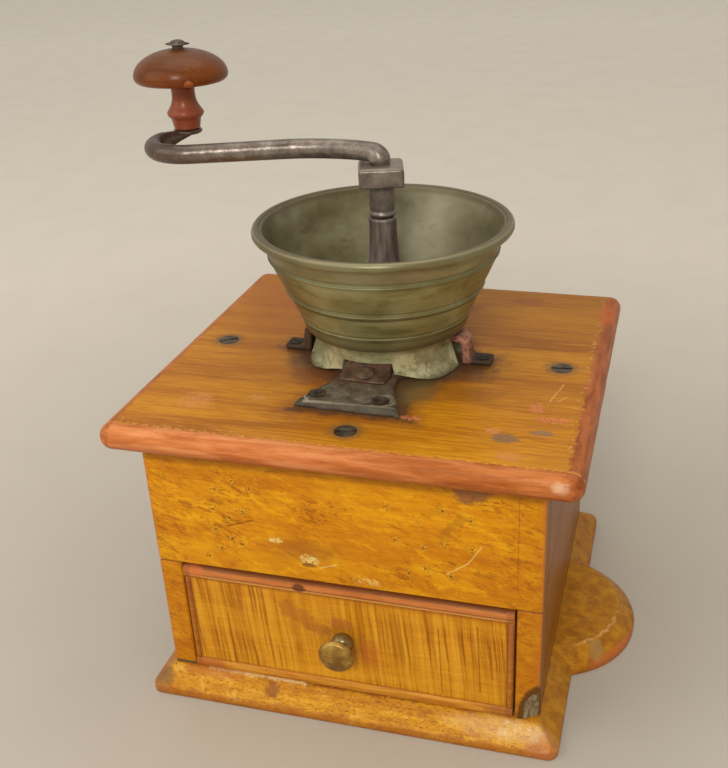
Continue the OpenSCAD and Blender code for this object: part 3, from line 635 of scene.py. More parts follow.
def side_material():
    """Plain maple of the sides and the back, grain running front to back."""
    s = wood("side_maple", "Y", (124, 66, 8), (150, 86, 12), (170, 104, 20), shift=6, rough=0.36,
             crossed=lambda shade: shade.step(0.8, 0.4, BACK_Y - shade.y))
    clouds = s.noise((0.02, 0.02, 0.05), detail=4, rough=0.6, twist=0.5, shift=8)
    s.paint(s.step(0.46, 0.62, clouds) * 0.4, (120, 68, 14))
    s.paint(s.step(88, 120, s.z) * 0.7, (88, 46, 10))
    for start, end, width in (((-14, 79.5), (-41, 81.2), 0.4), ((-58.8, 118), (-60.4, 96), 0.35)):
        s.paint(s.streak((CASE_X, *start), (CASE_X, *end), width), (40, 24, 10), height=-0.3)
    # Painted shade: darker along the foot of the side, in the gap above the base
    foot = s.step(BASE_TOP + 4.5, BASE_TOP + 0.5, s.z + s.ragged(2, 0.3))
    s.paint(foot * 0.75, (74, 48, 24))
    seam = s.size(s.y - (FRONT_Y + 13))
    s.paint(s.step(1.2, 0.2, seam + s.ragged(0.5, 0.5)) * 0.6, (70, 42, 20))
    torn = torn_corner(s)
    s.paint(s.step(1.35, 1.0, torn + s.ragged(0.2, 0.5)) * 0.8, bare_wood(s), rough=0.9)
    return varnish(s, coat=0.03, coat_rough=0.16, specular=0.26)


def from_plate(s):
    """Distance out from the outline of the mill plate, whose ends widen like fishtails."""
    depth = s.most(s.size(s.y) - 32, 0.0)
    return s.most(s.size(s.x) - 13 - depth * 0.39, s.size(s.y) - 56)


def top_material():
    """Amber top board, salmon wear round its nose, and stains with painted shadow round the mill."""
    s = wood("amber_maple", "X", (156, 90, 8), (186, 117, 10), (206, 138, 20), shift=3, contrast=0.09)
    broad = s.noise((0.012, 0.02, 0.02), detail=2, shift=4)
    s.paint(s.step(0.42, 0.62, broad) * 0.45, (166, 98, 18))
    grain = s.noise((0.05, 0.75, 0.75), detail=4, rough=0.6, shift=9)
    s.paint(s.step(0.50, 0.66, grain) * 0.42, (150, 86, 12))
    s.paint(s.step(0.46, 0.36, grain) * 0.35, (206, 144, 44))
    hairs = s.noise((0.12, 2.2, 2.2), detail=3, shift=10)
    s.paint(s.step(0.58, 0.68, hairs) * 0.35, (126, 70, 14))
    # Darker towards the back: partly browner wood, partly painted shade behind the hopper
    s.paint(s.step(-20, 80, s.y) * 0.6, (136, 82, 16))
    s.paint(s.step(-40, -88, s.x) * 0.2, (186, 112, 40))
    top = DECK
    # Dark bleed from the iron, widest on the left and at the plate's corners, with painted shadow of the
    # hopper and the legs laid into it
    from_hopper = s.vector("LENGTH", s.vector("MULTIPLY", s.place, (1, 1, 0))) - 34
    near = s.least(from_hopper, from_plate(s)) + s.ragged(4.5, 0.16, 2) + s.ragged(1.5, 0.6, 5)
    s.paint(s.step(12, 1.5, near) * 0.6, (128, 70, 22))
    s.paint(s.step(4.6, 0.6, near) * 0.8, (74, 52, 38), rough=0.55)
    s.patches(((22, -31, top), (8, 13, 4), 0.6, 0.9, 0.15, 0.7, (96, 86, 54)),
              ((-33, -10, top), (8, 12, 4), 0.6, 0.9, 0.15, 0.75, (84, 62, 44)),
              ((-26, -27, top), (9, 8, 4), 0.6, 0.9, 0.15, 0.6, (120, 66, 36)),
              ((40, -30, top), (14, 6, 4), 0.7, 1.0, 0.15, 0.5, (130, 74, 18)),
              ((33, -12, top), (15, 9, 4), 0.7, 0.9, 0.2, 0.7, (84, 56, 34)),
              ((-58, 34, top), (24, 40, 4), 0.5, 1.2, 0.06, 0.5, (142, 74, 20)))
    # Dark patches round the legs' feet: stain and painted shade
    for x, y, reach in ((39, -1, 12), (-38, 1, 11)):
        s.paint(s.spot((x, y, top), (reach, 10, 4), fray=0.7, soft=0.9, lumps=0.2) * 0.75, (78, 52, 34))
    # Scrapes, dents and spots
    s.paint(s.scrape((-65, -58, top), (7, 6.5, 3)) * 0.7, (206, 136, 76), rough=0.55)
    salmon = (212, 122, 72)
    s.paint(s.scrape((71, -38, top), (2.8, 4, 3)), salmon, height=-0.1)
    s.paint(s.scrape((78, -46, top), (6, 2.4, 3)), salmon, height=-0.15)
    s.scrapes(((24.5, -55, top), (4.4, 1.6, 3), 1, (208, 124, 84)),
              ((57.5, -58.5, top), (3, 2, 3), 0.8, (206, 140, 84)),
              ((66, -76, top), (5, 3, 3), 0.7, (200, 128, 76)),
              ((-41, -50.5, top), (4, 2, 3), 0.8, (198, 140, 80)))
    s.paint(s.spot((62.5, -63, top), (4.6, 3.2, 3), fray=0.9, soft=0.5, lumps=0.7) * 0.75, (122, 96, 74),
            height=-0.25)
    s.paint(s.spot((75.5, -56.5, top), (4, 2, 3), fray=0.9, soft=0.5, lumps=0.7) * 0.7, (128, 104, 82),
            height=-0.25)
    s.paint(s.spot((52, 70, top), (9, 5, 3), fray=0.7, soft=0.8, lumps=0.3) * 0.5, (138, 66, 30))
    for start, end in (((75, -31), (77, -22)), ((77.5, -21), (78.6, -15)), ((78, -30.5), (81.4, -25.5))):
        s.paint(s.streak((*start, top), (*end, top), 0.45, fray=0.8) * 0.7, (214, 168, 98), height=-0.1)
    for x, y in TOP_SCREWS:
        s.paint(s.spot((x, y, top), (7, 6.5, 4), fray=0.5, soft=0.7, lumps=0.5) * 0.65, (110, 82, 46))
    # Nose: the paint-like wear of the rounded edges, a darker underside, and a small painted highlight at the
    # right end
    front = s.y - TOP_LOW.y
    side = TOP_HIGH.x - s.x
    left = s.x - TOP_LOW.x
    back = TOP_HIGH.y - s.y
    flecks = s.step(0.60, 0.66, s.noise((0.8, 1.2, 1.2), detail=3, shift=21))
    s.paint(s.step(15, 7, front) * s.step(20, -60, s.x) * flecks * 0.7, (210, 158, 84))
    fray = s.ragged(2.4, 0.35, 13)
    frontal = s.step(6.8, 5.2, front + fray * 0.6)
    right = s.step(7.6, 5.8, side + fray * 1.3)
    chips = s.step(0.54, 0.62, s.noise((0.5, 0.45, 0.5), detail=4, rough=0.7, shift=17))
    s.paint(s.step(11.0, 7.5, side + fray) * chips * 0.7, (210, 158, 90), rough=0.6, height=-0.15)
    soft = s.noise((0.035, 0.3, 0.3), detail=4, rough=0.6, twist=0.3, shift=19)
    ends = s.noise((0.3, 0.05, 0.45), detail=4, rough=0.6, twist=0.3, shift=29)
    paler = s.ramp(soft, (0.36, (174, 92, 42)), (0.5, (196, 114, 62)), (0.64, (212, 136, 84)))
    darker = s.ramp(soft, (0.36, (146, 72, 26)), (0.5, (168, 90, 38)), (0.64, (190, 112, 58)))
    end_tone = s.ramp(ends, (0.36, (146, 74, 28)), (0.5, (168, 92, 40)), (0.64, (188, 114, 58)))
    rubbed_through = s.step(0.56, 0.66, s.noise((0.07, 0.5, 0.5), detail=4, rough=0.7, shift=23))
    s.paint(frontal, s.blend(s.step(-60, 70, s.x), paler, darker), rough=0.4)
    s.paint(frontal * rubbed_through * 0.4, (160, 88, 34))
    s.paint(right, s.ramp(ends, (0.36, (138, 66, 26)), (0.62, (178, 98, 48))), rough=0.42)
    s.paint(s.step(6.4, 5.0, left + fray * 0.6) * 0.85, end_tone)
    s.paint(s.step(6.0, 4.6, back + fray * 0.6) * 0.7, (150, 82, 34))
    arris = s.step(7.6, 6.4, front + fray * 0.6) * s.step(5.0, 6.2, front + fray * 0.6)
    s.paint(arris * s.step(0.46, 0.56, s.noise(0.7, detail=3, rough=0.7, shift=33)) * 0.55, (222, 158, 70))
    under = s.step(TOP_LOW.z + 4.5, TOP_LOW.z + 0.8, s.z + s.ragged(0.8, 0.2, 3))
    s.paint(under * 0.5, (132, 64, 26))
    s.paint(s.spot((90, 61, top - 2), (4, 12, 5), fray=0.6, soft=0.6) * 0.7, (186, 92, 38))
    # Painted highlight: a small pale spot at the nose's right end
    s.paint(s.spot((86, TOP_LOW.y + 1.2, TOP_LOW.z + 7.2), (3, 3, 1.8), fray=0.5, soft=1.2, lumps=0.4) * 0.5,
            (236, 196, 160), rough=0.3)
    return varnish(s, coat=0.05, coat_rough=0.18, specular=0.3)


def base_material():
    """Mottled base board and ear, rubbed red along the outer edge."""
    s = wood("base_maple", "X", (178, 110, 12), (200, 136, 20), (216, 158, 36), shift=5)
    clouds = s.noise((0.08, 0.2, 0.2, (0, 0, 20)), detail=5, rough=0.7, twist=0.4, shift=12)
    s.paint(s.step(0.50, 0.62, clouds) * 0.65, (160, 94, 20))
    s.paint(s.step(0.47, 0.36, clouds) * 0.6, (222, 170, 66))
    pits = s.step(0.55, 0.64, s.noise((0.6, 1.3, 1.3), detail=3, rough=0.7, shift=14))
    s.paint(pits * 0.7, (132, 74, 14), height=-0.06)
    # The ear and the right strip are browner than the front
    brown = s.step(76, 84, s.x) * s.step(-88, -74, s.y)
    mottled = s.noise(0.16, detail=5, rough=0.66, twist=0.2, shift=15)
    s.paint(brown * 0.8, s.ramp(mottled, (0.36, (140, 82, 6)), (0.5, (168, 106, 8)), (0.62, (188, 128, 16))))
    s.paint(s.step(60, 86, s.y) * brown * 0.3, (130, 74, 14))
    round_ear = s.vector("DISTANCE", s.vector("MULTIPLY", s.place, (1, 1, 0)), (EAR_X, EAR_Y, 0))
    on_ear = s.step(30, 32, round_ear) * s.step(43, 41.6, round_ear) * s.step(88, 92, s.x)
    rubs = s.step(0.44, 0.60, s.noise(0.14, detail=4, rough=0.6, shift=25))
    arris = s.step(1.1, 0.2, s.size(round_ear - 34 + s.ragged(1.6, 0.3, 3)))
    s.paint(arris * on_ear * rubs * (s.step(16, -10, s.y) * 0.6 + 0.25), (206, 160, 86), rough=0.6)
    rim = s.step(39.6, 41.2, round_ear + s.ragged(1.4, 0.3, 7)) * s.step(88, 92, s.x)
    s.paint(rim * s.step(2, -14, s.y) * s.step(94, 102, s.x + s.ragged(3, 0.2, 8)) * 0.8, (190, 100, 48))
    s.paint(rim * s.step(-6, 12, s.y) * 0.5, (118, 68, 22))
    s.paint(s.spot((100, -26, BASE_TOP - 2), (4, 5, 5), fray=0.7, soft=0.5) * 0.6, (158, 128, 80), rough=0.6)
    # Outer edge, corners and scuffs of the front bevel, and a painted glare on its right part
    edge = s.least(s.y - BASE_LOW.y, s.x - BASE_LOW.x)
    s.paint(s.step(1.6, 0.2, edge + s.ragged(1.6, 0.2, 9)) * 0.6, (156, 84, 32))
    s.paint(s.step(2.2, 0.4, s.z + s.ragged(1.2, 0.2, 19)) * 0.7, (150, 80, 34))
    s.paint(s.step(-81, -85, s.x + s.ragged(2, 0.2, 4)) * 0.55, (146, 80, 44))
    s.paint(s.spot((86, -86, 6), (9, 6, 8), fray=0.5, soft=0.9, lumps=0.3) * 0.7, (176, 104, 60), rough=0.4)
    # Painted highlight: a soft pale glare on the right of the front bevel, with painted glints in it
    painted_glints = s.step(0.42, 0.66, s.noise((0.3, 0.15, 0.3), detail=5, rough=0.65, shift=27))
    s.paint(s.spot((66, -82, 8), (20, 4.5, 4), fray=0.4, soft=1.0, lumps=0.2) * 0.4, (224, 182, 122),
            rough=0.32)
    s.paint(s.spot((73, -82, 8), (9, 4, 4), fray=0.6, soft=0.9, lumps=0.3) * painted_glints * 0.5, (240, 214, 168),
            rough=0.3)
    scuff = s.streak((-64, -77.8, 10.6), (-20, -77.8, 10.6), 1.5, fray=1.2, lumps=0.8)
    s.paint(scuff * 0.85, (234, 200, 140), rough=0.3)
    s.paint(s.streak((-20, -77.8, 10.6), (30, -77.8, 10.6), 1.2, fray=1.6, lumps=0.6) * 0.6, (126, 76, 34))
    s.patches(((-34, -82.5, 8), (3, 3, 4), 0.8, 0.5, 0.6, 0.7, (134, 74, 34)),
              ((-62, -79, 10), (13, 3, 3), 0.8, 0.6, 0.4, 0.5, (180, 98, 46)),
              ((-84, -83, 5), (4, 4, 6), 0.7, 0.5, 0.4, 0.6, (112, 88, 56)))
    return varnish(s, coat=0.06, coat_rough=0.22)


def drawer_material():
    """Curly maple of the drawer's front: thin dark stripes, nearly upright, over gold."""
    s = wood("curly_maple", "X", (192, 122, 16), (204, 136, 20), (214, 150, 30), shift=7)
    lean = s.x + s.z * 0.08 + s.ragged(0.8, 0.05, 5)

    def upright(across, along, detail, shift):
        place = s.node("CombineXYZ")
        s.feed(place.inputs[0], lean * across)
        s.feed(place.inputs[2], s.z * along)
        return s.noise(place.outputs[0], detail=detail, rough=0.6, shift=shift)

    region = s.step(0.40, 0.58, s.noise((0.03, 0.03, 0.045), detail=2, shift=8))
    ends = s.step(18, 50, s.size(s.x))
    stripes = upright(0.34, 0.008, 3, 6)
    s.paint(s.step(0.50, 0.62, stripes) * (region * 0.3 + ends * 0.15 + 0.15), (158, 90, 8))
    s.paint(s.step(0.48, 0.38, stripes) * 0.4, (222, 162, 44))
    thin = upright(0.9, 0.016, 2, 16)
    s.paint(s.step(0.54, 0.64, thin) * (region * 0.4 + ends * 0.25 + 0.1), (130, 70, 6))
    s.paint(s.step(0.44, 0.36, thin) * 0.25, (228, 174, 62))
    face = FRONT_Y
    smudge = s.streak((-26, face, 52), (-10, face, 42), 5, fray=1.0, lumps=0.25)
    s.paint(smudge * 0.5, (154, 80, 30))
    s.patches(((-1.5, face, 47), (5, 3, 3), 0.8, 0.6, 0.4, 0.6, (176, 96, 48)),
              ((10, face, 34), (5, 3, 6), 0.8, 0.9, 0.4, 0.4, (188, 90, 30)),
              ((PULL_X, face, PULL_Z), (9, 4, 9), 0.5, 0.9, 0.4, 0.35, (138, 82, 20)))
    for x, z0, z1 in ((61, 47, 30), (56, 56, 22), (40, 52, 18), (-57, 40, 16), (-52, 44, 16)):
        s.paint(s.streak((x - 0.5, face, z0), (x + 0.8, face, z1), 0.45, fray=0.8) * 0.6, (116, 62, 8))
    joints = [s.size(s.x - BEADS_LOW.x - BEAD_END), s.size(s.x - BEADS_HIGH.x + BEAD_END),
              s.size(s.z - BEADS_LOW.z - BEAD_FOOT), s.size(s.z - BEADS_HIGH.z + BEAD_TOP)]
    s.paint(s.step(1.3, 0.4, s.least(*joints) + s.ragged(0.5, 0.4)) * 0.55, (150, 80, 18))
    return varnish(s)


def bead_material():
    """Red-brown beads round the drawer, rubbed to gold along the foot."""
    s = wood("bead_stain", "X", (150, 74, 30), (176, 96, 42), (198, 122, 62), shift=9)
    upper = s.step(30, 60, s.z)
    s.paint((1 - upper) * 0.85, s.ramp(s.noise((0.05, 0.6, 0.8), detail=3),
                                       (0.38, (176, 108, 20)), (0.62, (208, 146, 48))))
    s.paint(upper * s.step(0, 60, s.x) * 0.4, (210, 138, 74))
    lower = BEADS_HIGH.z - BEAD_TOP
    s.paint(s.step(0.9, 0.4, s.size(s.z - lower - 1.9) + s.ragged(0.3, 0.4)) * 0.5, (120, 62, 26))
    s.paint(s.step(1.1, 0.6, s.size(s.z - lower - 0.8) + s.ragged(0.3, 0.4)) * 0.85, (222, 166, 86))
    s.paint(s.step(1.2, 0.3, BEADS_HIGH.z - s.z) * 0.75, (82, 38, 18))
    s.paint(s.spot((-18.6, FRONT_Y, 63), (3, 3, 2), fray=0.7, soft=0.4, lumps=0.8) * 0.85, (80, 40, 22),
            height=-0.2)
    s.paint(s.spot((-66, FRONT_Y, 63), (5, 3, 4), fray=0.7, soft=0.6) * 0.5, (206, 112, 60))
    s.paint(s.step(66.5, 68, s.size(s.x)) * 0.5, (136, 72, 26))
    s.patches(((-66, FRONT_Y, 14), (10, 3, 4), 0.7, 0.8, 0.4, 0.6, (164, 80, 38)),
              ((66, FRONT_Y, 14), (7, 3, 4), 0.7, 0.8, 0.4, 0.6, (140, 72, 40)))
    return varnish(s, coat=0.08)


def inside_material():
    """Bare wood inside the drawer, brown with coffee dust at the bottom."""
    s = wood("bare_wood", "X", (146, 104, 56), (170, 128, 76), (192, 152, 98), shift=10, rough=0.7)
    s.paint(s.step(0.45, 0.65, s.noise(0.05, detail=4, shift=3)) * 0.4, (114, 76, 40))
    dust = s.step(0.55, 0.64, s.noise(0.9, detail=3, shift=5)) * s.step(26, 18, s.z)
    s.paint(dust * 0.6, (60, 38, 22))
    return s.finish(specular=0.3)


def knob_material():
    """Polished red-brown knob, redder on its stem, where a lighter tone is also a painted sheen."""
    s = wood("knob_wood", "X", (80, 34, 4), (102, 48, 8), (122, 64, 12), shift=12, rough=0.34, contrast=0.14)
    # Redder stem, its tone also lightened as a painted sheen
    stem = s.step(KNOB_LOW.z + 19, KNOB_LOW.z + 16, s.z)
    s.paint(stem * 0.7, (152, 78, 54), rough=0.34)
    s.paint(s.step(KNOB_HIGH.z - 9, KNOB_HIGH.z - 1, s.z) * 0.5, (88, 54, 28), rough=0.4)
    middle = (KNOB_LOW + KNOB_HIGH) / 2
    knot = s.vector("DISTANCE", s.place, (middle.x + 11, middle.y - 16.2, KNOB_LOW.z + 21))
    s.paint(s.step(3.0, 2.2, knot + s.ragged(0.5, 0.6)) * 0.8, (84, 36, 12))
    s.paint(s.step(2.3, 1.6, knot + s.ragged(0.5, 0.8)) * 0.9, (166, 92, 44))
    rim = s.step(1.6, 0.5, s.size(s.z - KNOB_LOW.z - 20.4) + s.ragged(0.6, 0.3))
    s.paint(rim * 0.35, (150, 66, 30))
    chips = s.step(0.66, 0.70, s.noise(0.35, detail=4, rough=0.7, shift=2))
    s.paint(chips * 0.5, (66, 34, 18), height=-0.08)
    return s.finish(coat=0.07, coat_rough=0.14, specular=0.34, tint=(1.0, 0.7, 0.5, 1.0))


def pewter_material():
    """Olive-grey pewter: turned lines, patina clouds, faint ring lines and a pale skirt."""
    s = Shade("pewter", (112, 108, 64), 0.42)
    clouds = s.noise((0.04, 0.04, 0.09), detail=4, rough=0.6, twist=0.6, shift=1)
    s.colour = s.ramp(clouds, (0.36, (112, 109, 66)), (0.5, (137, 137, 92)), (0.64, (155, 157, 116)))
    warm = s.noise((0.03, 0.03, 0.07), detail=3, shift=22)
    s.paint(s.step(0.50, 0.64, warm) * 0.3, (112, 92, 56))
    turned = s.noise((0.03, 0.03, 2.6), detail=3, shift=2)
    s.paint(s.step(0.45, 0.62, turned) * 0.18, (150, 146, 104))
    s.height = turned * 0.04
    radius = s.vector("LENGTH", s.vector("MULTIPLY", s.place, (1, 1, 0)))
    over = s.z - DECK
    # The inside is greyer, with soft brown clouds
    wall_r = s.most(s.least((over - 22.4) * 0.458 + 36.5, 54.0), 28.6)
    inside = s.step(0.5, -0.5, radius - wall_r + 1.2)
    s.paint(inside * 0.8, s.ramp(s.noise((0.03, 0.03, 0.04), detail=4, rough=0.6, shift=4),
                                 (0.36, (88, 80, 50)), (0.5, (116, 108, 80)), (0.64, (140, 135, 110))))
    marks = s.noise((0.06, 0.06, 0.10), detail=5, rough=0.7, twist=0.6, shift=6)
    s.paint(inside * s.step(0.54, 0.68, marks) * 0.5, (84, 72, 46), rough=0.5)
    outside = 1 - inside
    # Painted light: the inside lighter towards the right as a painted reflection, the outside darker and
    # browner on the left as painted shade and reflected wood
    s.paint(inside * s.step(-18, 4, s.x) * s.step(48, 22, s.x) * 0.3, (152, 146, 124))
    s.paint(outside * s.step(-12, -44, s.x) * 0.6, (80, 58, 26))
    # Faint pale lines on the turned rings with dark ones beside them
    for height, dark in ((22.9, -1.5), (34.5, -1.5), (49.1, 1.7)):
        away = over - height
        s.paint(s.step(1.5, 0.5, s.size(away - 0.4)) * outside * 0.5, (92, 86, 52), rough=0.52)
        s.paint(s.step(0.8, 0.2, s.size(away - dark)) * outside * 0.6, (60, 52, 28))
    s.paint(s.step(0.6, 0.2, s.size(over - 36.3)) * outside * 0.5, (62, 56, 30))
    s.paint(s.step(57.6, 59.4, over) * 0.7, (100, 89, 62), rough=0.38)
    # A dark line round the lip's inner edge, and a painted highlight line on its outer roll
    s.paint(s.step(60.0, 60.3, over) * s.step(0.5, 0.15, s.size(radius - 51.2)) * 0.6, (66, 56, 32))
    s.paint(s.step(60.0, 60.5, over) * s.step(0.6, 0.2, s.size(radius - 53.6)) * 0.35, (172, 160, 124),
            rough=0.3)
    # Painted shade on the bowl's underside, between the skirt and the corner ring
    band = s.step(15.2, 16.4, over) * s.step(21.8, 20.6, over) * outside
    s.paint(band * 0.6, (84, 76, 44), rough=0.5)
    # Skirt
    skirt = s.step(15.8, 15.0, over + s.ragged(0.3, 0.3, 2))
    grey = s.ramp(s.noise((0.12, 0.12, 0.2), detail=4, rough=0.65, shift=8),
                  (0.34, (124, 124, 84)), (0.5, (156, 154, 114)), (0.66, (182, 178, 142)))
    s.paint(skirt, grey, rough=0.44)
    low = s.step(8, 3.5, over + s.ragged(2.6, 0.35, 4))
    s.paint(skirt * low * 0.25, (178, 172, 134), rough=0.42)
    fray = s.noise(0.35, detail=3, rough=0.6, shift=12)
    for x, y, z in ((-19, -22, 5), (14, -25, 8), (20, -22, 3)):
        worn = s.spot((x, y, DECK + z), (5, 5, 4), fray=0.8, soft=0.5, lumps=0.5) * s.step(0.40, 0.50, fray)
        s.paint(worn * 0.6, (214, 206, 162), rough=0.38)
    s.paint(skirt * s.step(3.5, 1.5, over) * s.step(0.50, 0.60, fray) * 0.5, (116, 96, 58), rough=0.6)
    s.paint(s.step(1.6, 0.5, over) * 0.7, (78, 60, 36), rough=0.7)
    s.height = s.height + s.noise(0.16, detail=2, shift=9) * 0.2
    return s.finish(metal=0.45)


def iron_material(name, dark, middle, light, rust, rust_share, rough=0.5, shift=0.0):
    """Old iron: soft clouds, pits and rust."""
    s = Shade(name, middle, rough)
    clouds = s.noise(0.16, detail=5, rough=0.65, twist=0.5, shift=shift)
    s.colour = s.ramp(clouds, (0.36, dark), (0.5, middle), (0.64, light))
    pits = s.step(0.58, 0.68, s.noise(1.3, detail=3, rough=0.7, shift=shift + 1))
    s.paint(pits * 0.4, dark, height=-0.06)
    bloom = s.step(1 - rust_share, 1.14 - rust_share,
                   s.noise(0.22, detail=5, rough=0.72, shift=shift + 2) * 1.15)
    s.paint(bloom * 0.6, rust, rough=0.75)
    s.height = s.height + s.noise(0.5, detail=3, shift=shift + 3) * 0.15
    return s


def plate_material():
    s = iron_material("plate_iron", (74, 66, 54), (106, 97, 80), (132, 123, 105), (104, 74, 50), 0.42,
                      rough=0.55, shift=3)
    away = from_plate(s)
    line = s.step(0.7, 0.2, s.size(away + 1.9)) * s.step(40, 44, s.size(s.y))
    s.paint(line * 0.6, (150, 140, 120), rough=0.4)
    s.paint(s.step(-1.8, -1.2, away) * 0.75, (66, 60, 48), rough=0.7)
    s.paint(s.step(46, 33, s.size(s.y) + s.ragged(4, 0.2, 2)) * 0.6, (100, 70, 48), rough=0.65)
    ring = s.size(s.vector("DISTANCE", s.place, (12.2, -48.6, PLATE_TOP)) - 4.3 + s.ragged(0.5, 0.8))
    s.paint(s.step(0.7, 0.2, ring) * 0.6, (168, 158, 138), rough=0.35)
    crescent = s.vector("DISTANCE", s.place, (-16, -49.6, PLATE_TOP))
    s.paint(s.step(0.7, 0.2, s.size(crescent - 4.6 + s.ragged(0.5, 0.8))) * s.step(-17, -19, s.x) * 0.7,
            (176, 168, 148))
    return s.finish(metal=0.25, specular=0.35)


def bridge_material():
    s = iron_material("bridge_iron", (62, 44, 32), (94, 70, 50), (116, 92, 70), (108, 68, 44), 0.44,
                      rough=0.6, shift=5)
    column = s.step(148, 156, s.z)
    brushed = s.ramp(s.noise((0.35, 0.35, 0.05), detail=4, rough=0.6, shift=4),
                     (0.36, (92, 80, 74)), (0.5, (122, 110, 103)), (0.64, (146, 135, 128)))
    s.paint(column * 0.85, brushed, rough=0.42)
    s.paint(s.spot((5, -6, 166), (3, 4, 4), fray=0.6, soft=0.5, lumps=0.6) * 0.6, (124, 78, 46), rough=0.7)
    # The right riser: pinkish rust, painted much lighter as painted light where the hopper shades it
    riser = s.step(24, 27, s.size(s.x)) * s.step(38.5, 36.5, s.size(s.x)) * s.step(156, 152, s.z)
    s.paint(riser * s.step(0, 5, s.x) * 0.8, s.ramp(s.noise(0.5, detail=4, rough=0.7),
                                                    (0.38, (140, 86, 66)), (0.62, (204, 148, 122))),
            rough=0.75)
    feet = s.step(37, 39, s.size(s.x)) * s.step(150, 147, s.z)
    s.paint(feet * 0.8, (64, 46, 34), rough=0.7)
    # Painted shade: the left leg's lower part darker
    s.paint(s.step(-18, -24, s.x) * s.step(150, 147, s.z) * 0.7, (70, 50, 36))
    return s.finish(metal=0.4)


def crank_material():
    s = iron_material("crank_iron", (94, 81, 71), (119, 107, 98), (142, 131, 121), (98, 66, 46), 0.24,
                      rough=0.33, shift=7)
    s.paint(s.step(-52, -92, s.x) * 0.8, (72, 52, 40))
    s.paint(s.step(HEAD_HIGH.z + 1, HEAD_HIGH.z - 1, s.z) * 0.35, (96, 84, 74))
    scratch = s.step(0.60, 0.70, s.noise((0.12, 1.6, 1.6), detail=3, shift=8))
    s.paint(scratch * 0.2, (164, 154, 142), rough=0.3)
    edges = s.step(HEAD_HIGH.z - 1.6, HEAD_HIGH.z - 0.5, s.z) * s.step(HEAD_HIGH.z + 0.6, HEAD_HIGH.z, s.z)
    s.paint(edges * 0.4, (150, 138, 122), rough=0.32)
    return s.finish(metal=0.5)


def screw_material():
    s = iron_material("screw_iron", (48, 42, 35), (78, 68, 56), (112, 102, 88), (92, 62, 40), 0.38,
                      rough=0.42, shift=9)
    at_feet = s.step(30, 32, s.size(s.x)) * s.step(48, 46, s.size(s.x)) * s.step(9, 7, s.size(s.y))
    s.paint(at_feet * 0.7, (56, 43, 33), rough=0.7)
    return s.finish(metal=0.5)


def bright_iron_material(name, middle, shift):
    s = iron_material(name, (76, 70, 64), middle, (150, 144, 136), (106, 76, 52), 0.36, rough=0.34,
                      shift=shift)
    return s.finish(metal=0.8)


def brass_material():
    """Dull olive brass, greyer and shinier on the ball behind the disc."""
    s = Shade("brass", (122, 94, 40), 0.38)
    clouds = s.noise(0.22, detail=3, rough=0.6, shift=2)
    s.colour = s.ramp(clouds, (0.36, (132, 98, 40)), (0.5, (164, 127, 54)), (0.66, (190, 158, 82)))
    spots = s.step(0.60, 0.70, s.noise(0.6, detail=3, rough=0.7, shift=4))
    s.paint(spots * 0.3, (80, 58, 28), rough=0.5)
    collar = s.step(FRONT_Y - 6.5, FRONT_Y - 5.2, s.y)
    s.paint(collar * 0.7, (124, 116, 84), rough=0.26)
    s.height = s.noise(0.6, detail=3, shift=5) * 0.08
    return s.finish(metal=0.7)


MATERIALS = {
    "top_wood": top_material(),
    "front_wood": front_material(),
    "side_wood": side_material(),
    "base_wood": base_material(),
    "drawer_wood": drawer_material(),
    "bead_wood": bead_material(),
    "inside_wood": inside_material(),
    "knob_wood": knob_material(),
    "pewter": pewter_material(),
    "plate_iron": plate_material(),
    "bridge_iron": bridge_material(),
    "crank_iron": crank_material(),
    "shaft_iron": bright_iron_material("shaft_iron", tone(116, 108, 100), 11),
    "burr_iron": bright_iron_material("burr_iron", tone(98, 92, 86), 13),
    "screw_iron": screw_material(),
    "brass": brass_material(),
}


def dress_nodes():
    """Gives every CAD node its slot's material and slightly round edges."""
    for part in frame["record"]["subparts"]:
        node = frame["nodes"][part["node"]]
        node.data.materials.clear()
        node.data.materials.append(MATERIALS[part["material_slot"]])
        bevel = node.modifiers.new("edges", "BEVEL")
        bevel.width = 0.15 * MM
        bevel.segments = 2
        bevel.limit_method = "ANGLE"
        bevel.angle_limit = math.radians(50)


# Wooden case

def rubbed(depth, size, seed):
    """Wear of a board: its rounded edges sink where they were rubbed, its faces hardly at all."""
    def wear(p, out):
        on_edge = 1 - max(abs(v) for v in out)
        low = 0.5 + 0.5 * wave(p.x, p.y, p.z, size, seed)
        return depth * low * (0.12 + between(3 * on_edge, 0, 1))
    return wear


def board(name, node, slot, body="case", round_r=0.8, spacing=4.0, depth=0.25, seed=1.0):
    low, high = box_mm(node)
    mesh = rounded_block(low, high, round_r, spacing, rubbed(depth, 9, seed))
    return piece(name, mesh, body, slot, node)


def slit(route, width, low_y, high_y):
    """A thin crooked wedge to cut a crack with. route is a list of x and z."""
    rows = []
    for k, (x, z) in enumerate(route):
        half = width / 2 * (0.35 + 0.65 * math.sin(math.pi * (k + 0.5) / len(route)))
        rows.append([(x - half, low_y, z), (x + half, low_y, z), (x + half, high_y, z),
                     (x - half, high_y, z)])
    return mesh_from(*skin(rows))


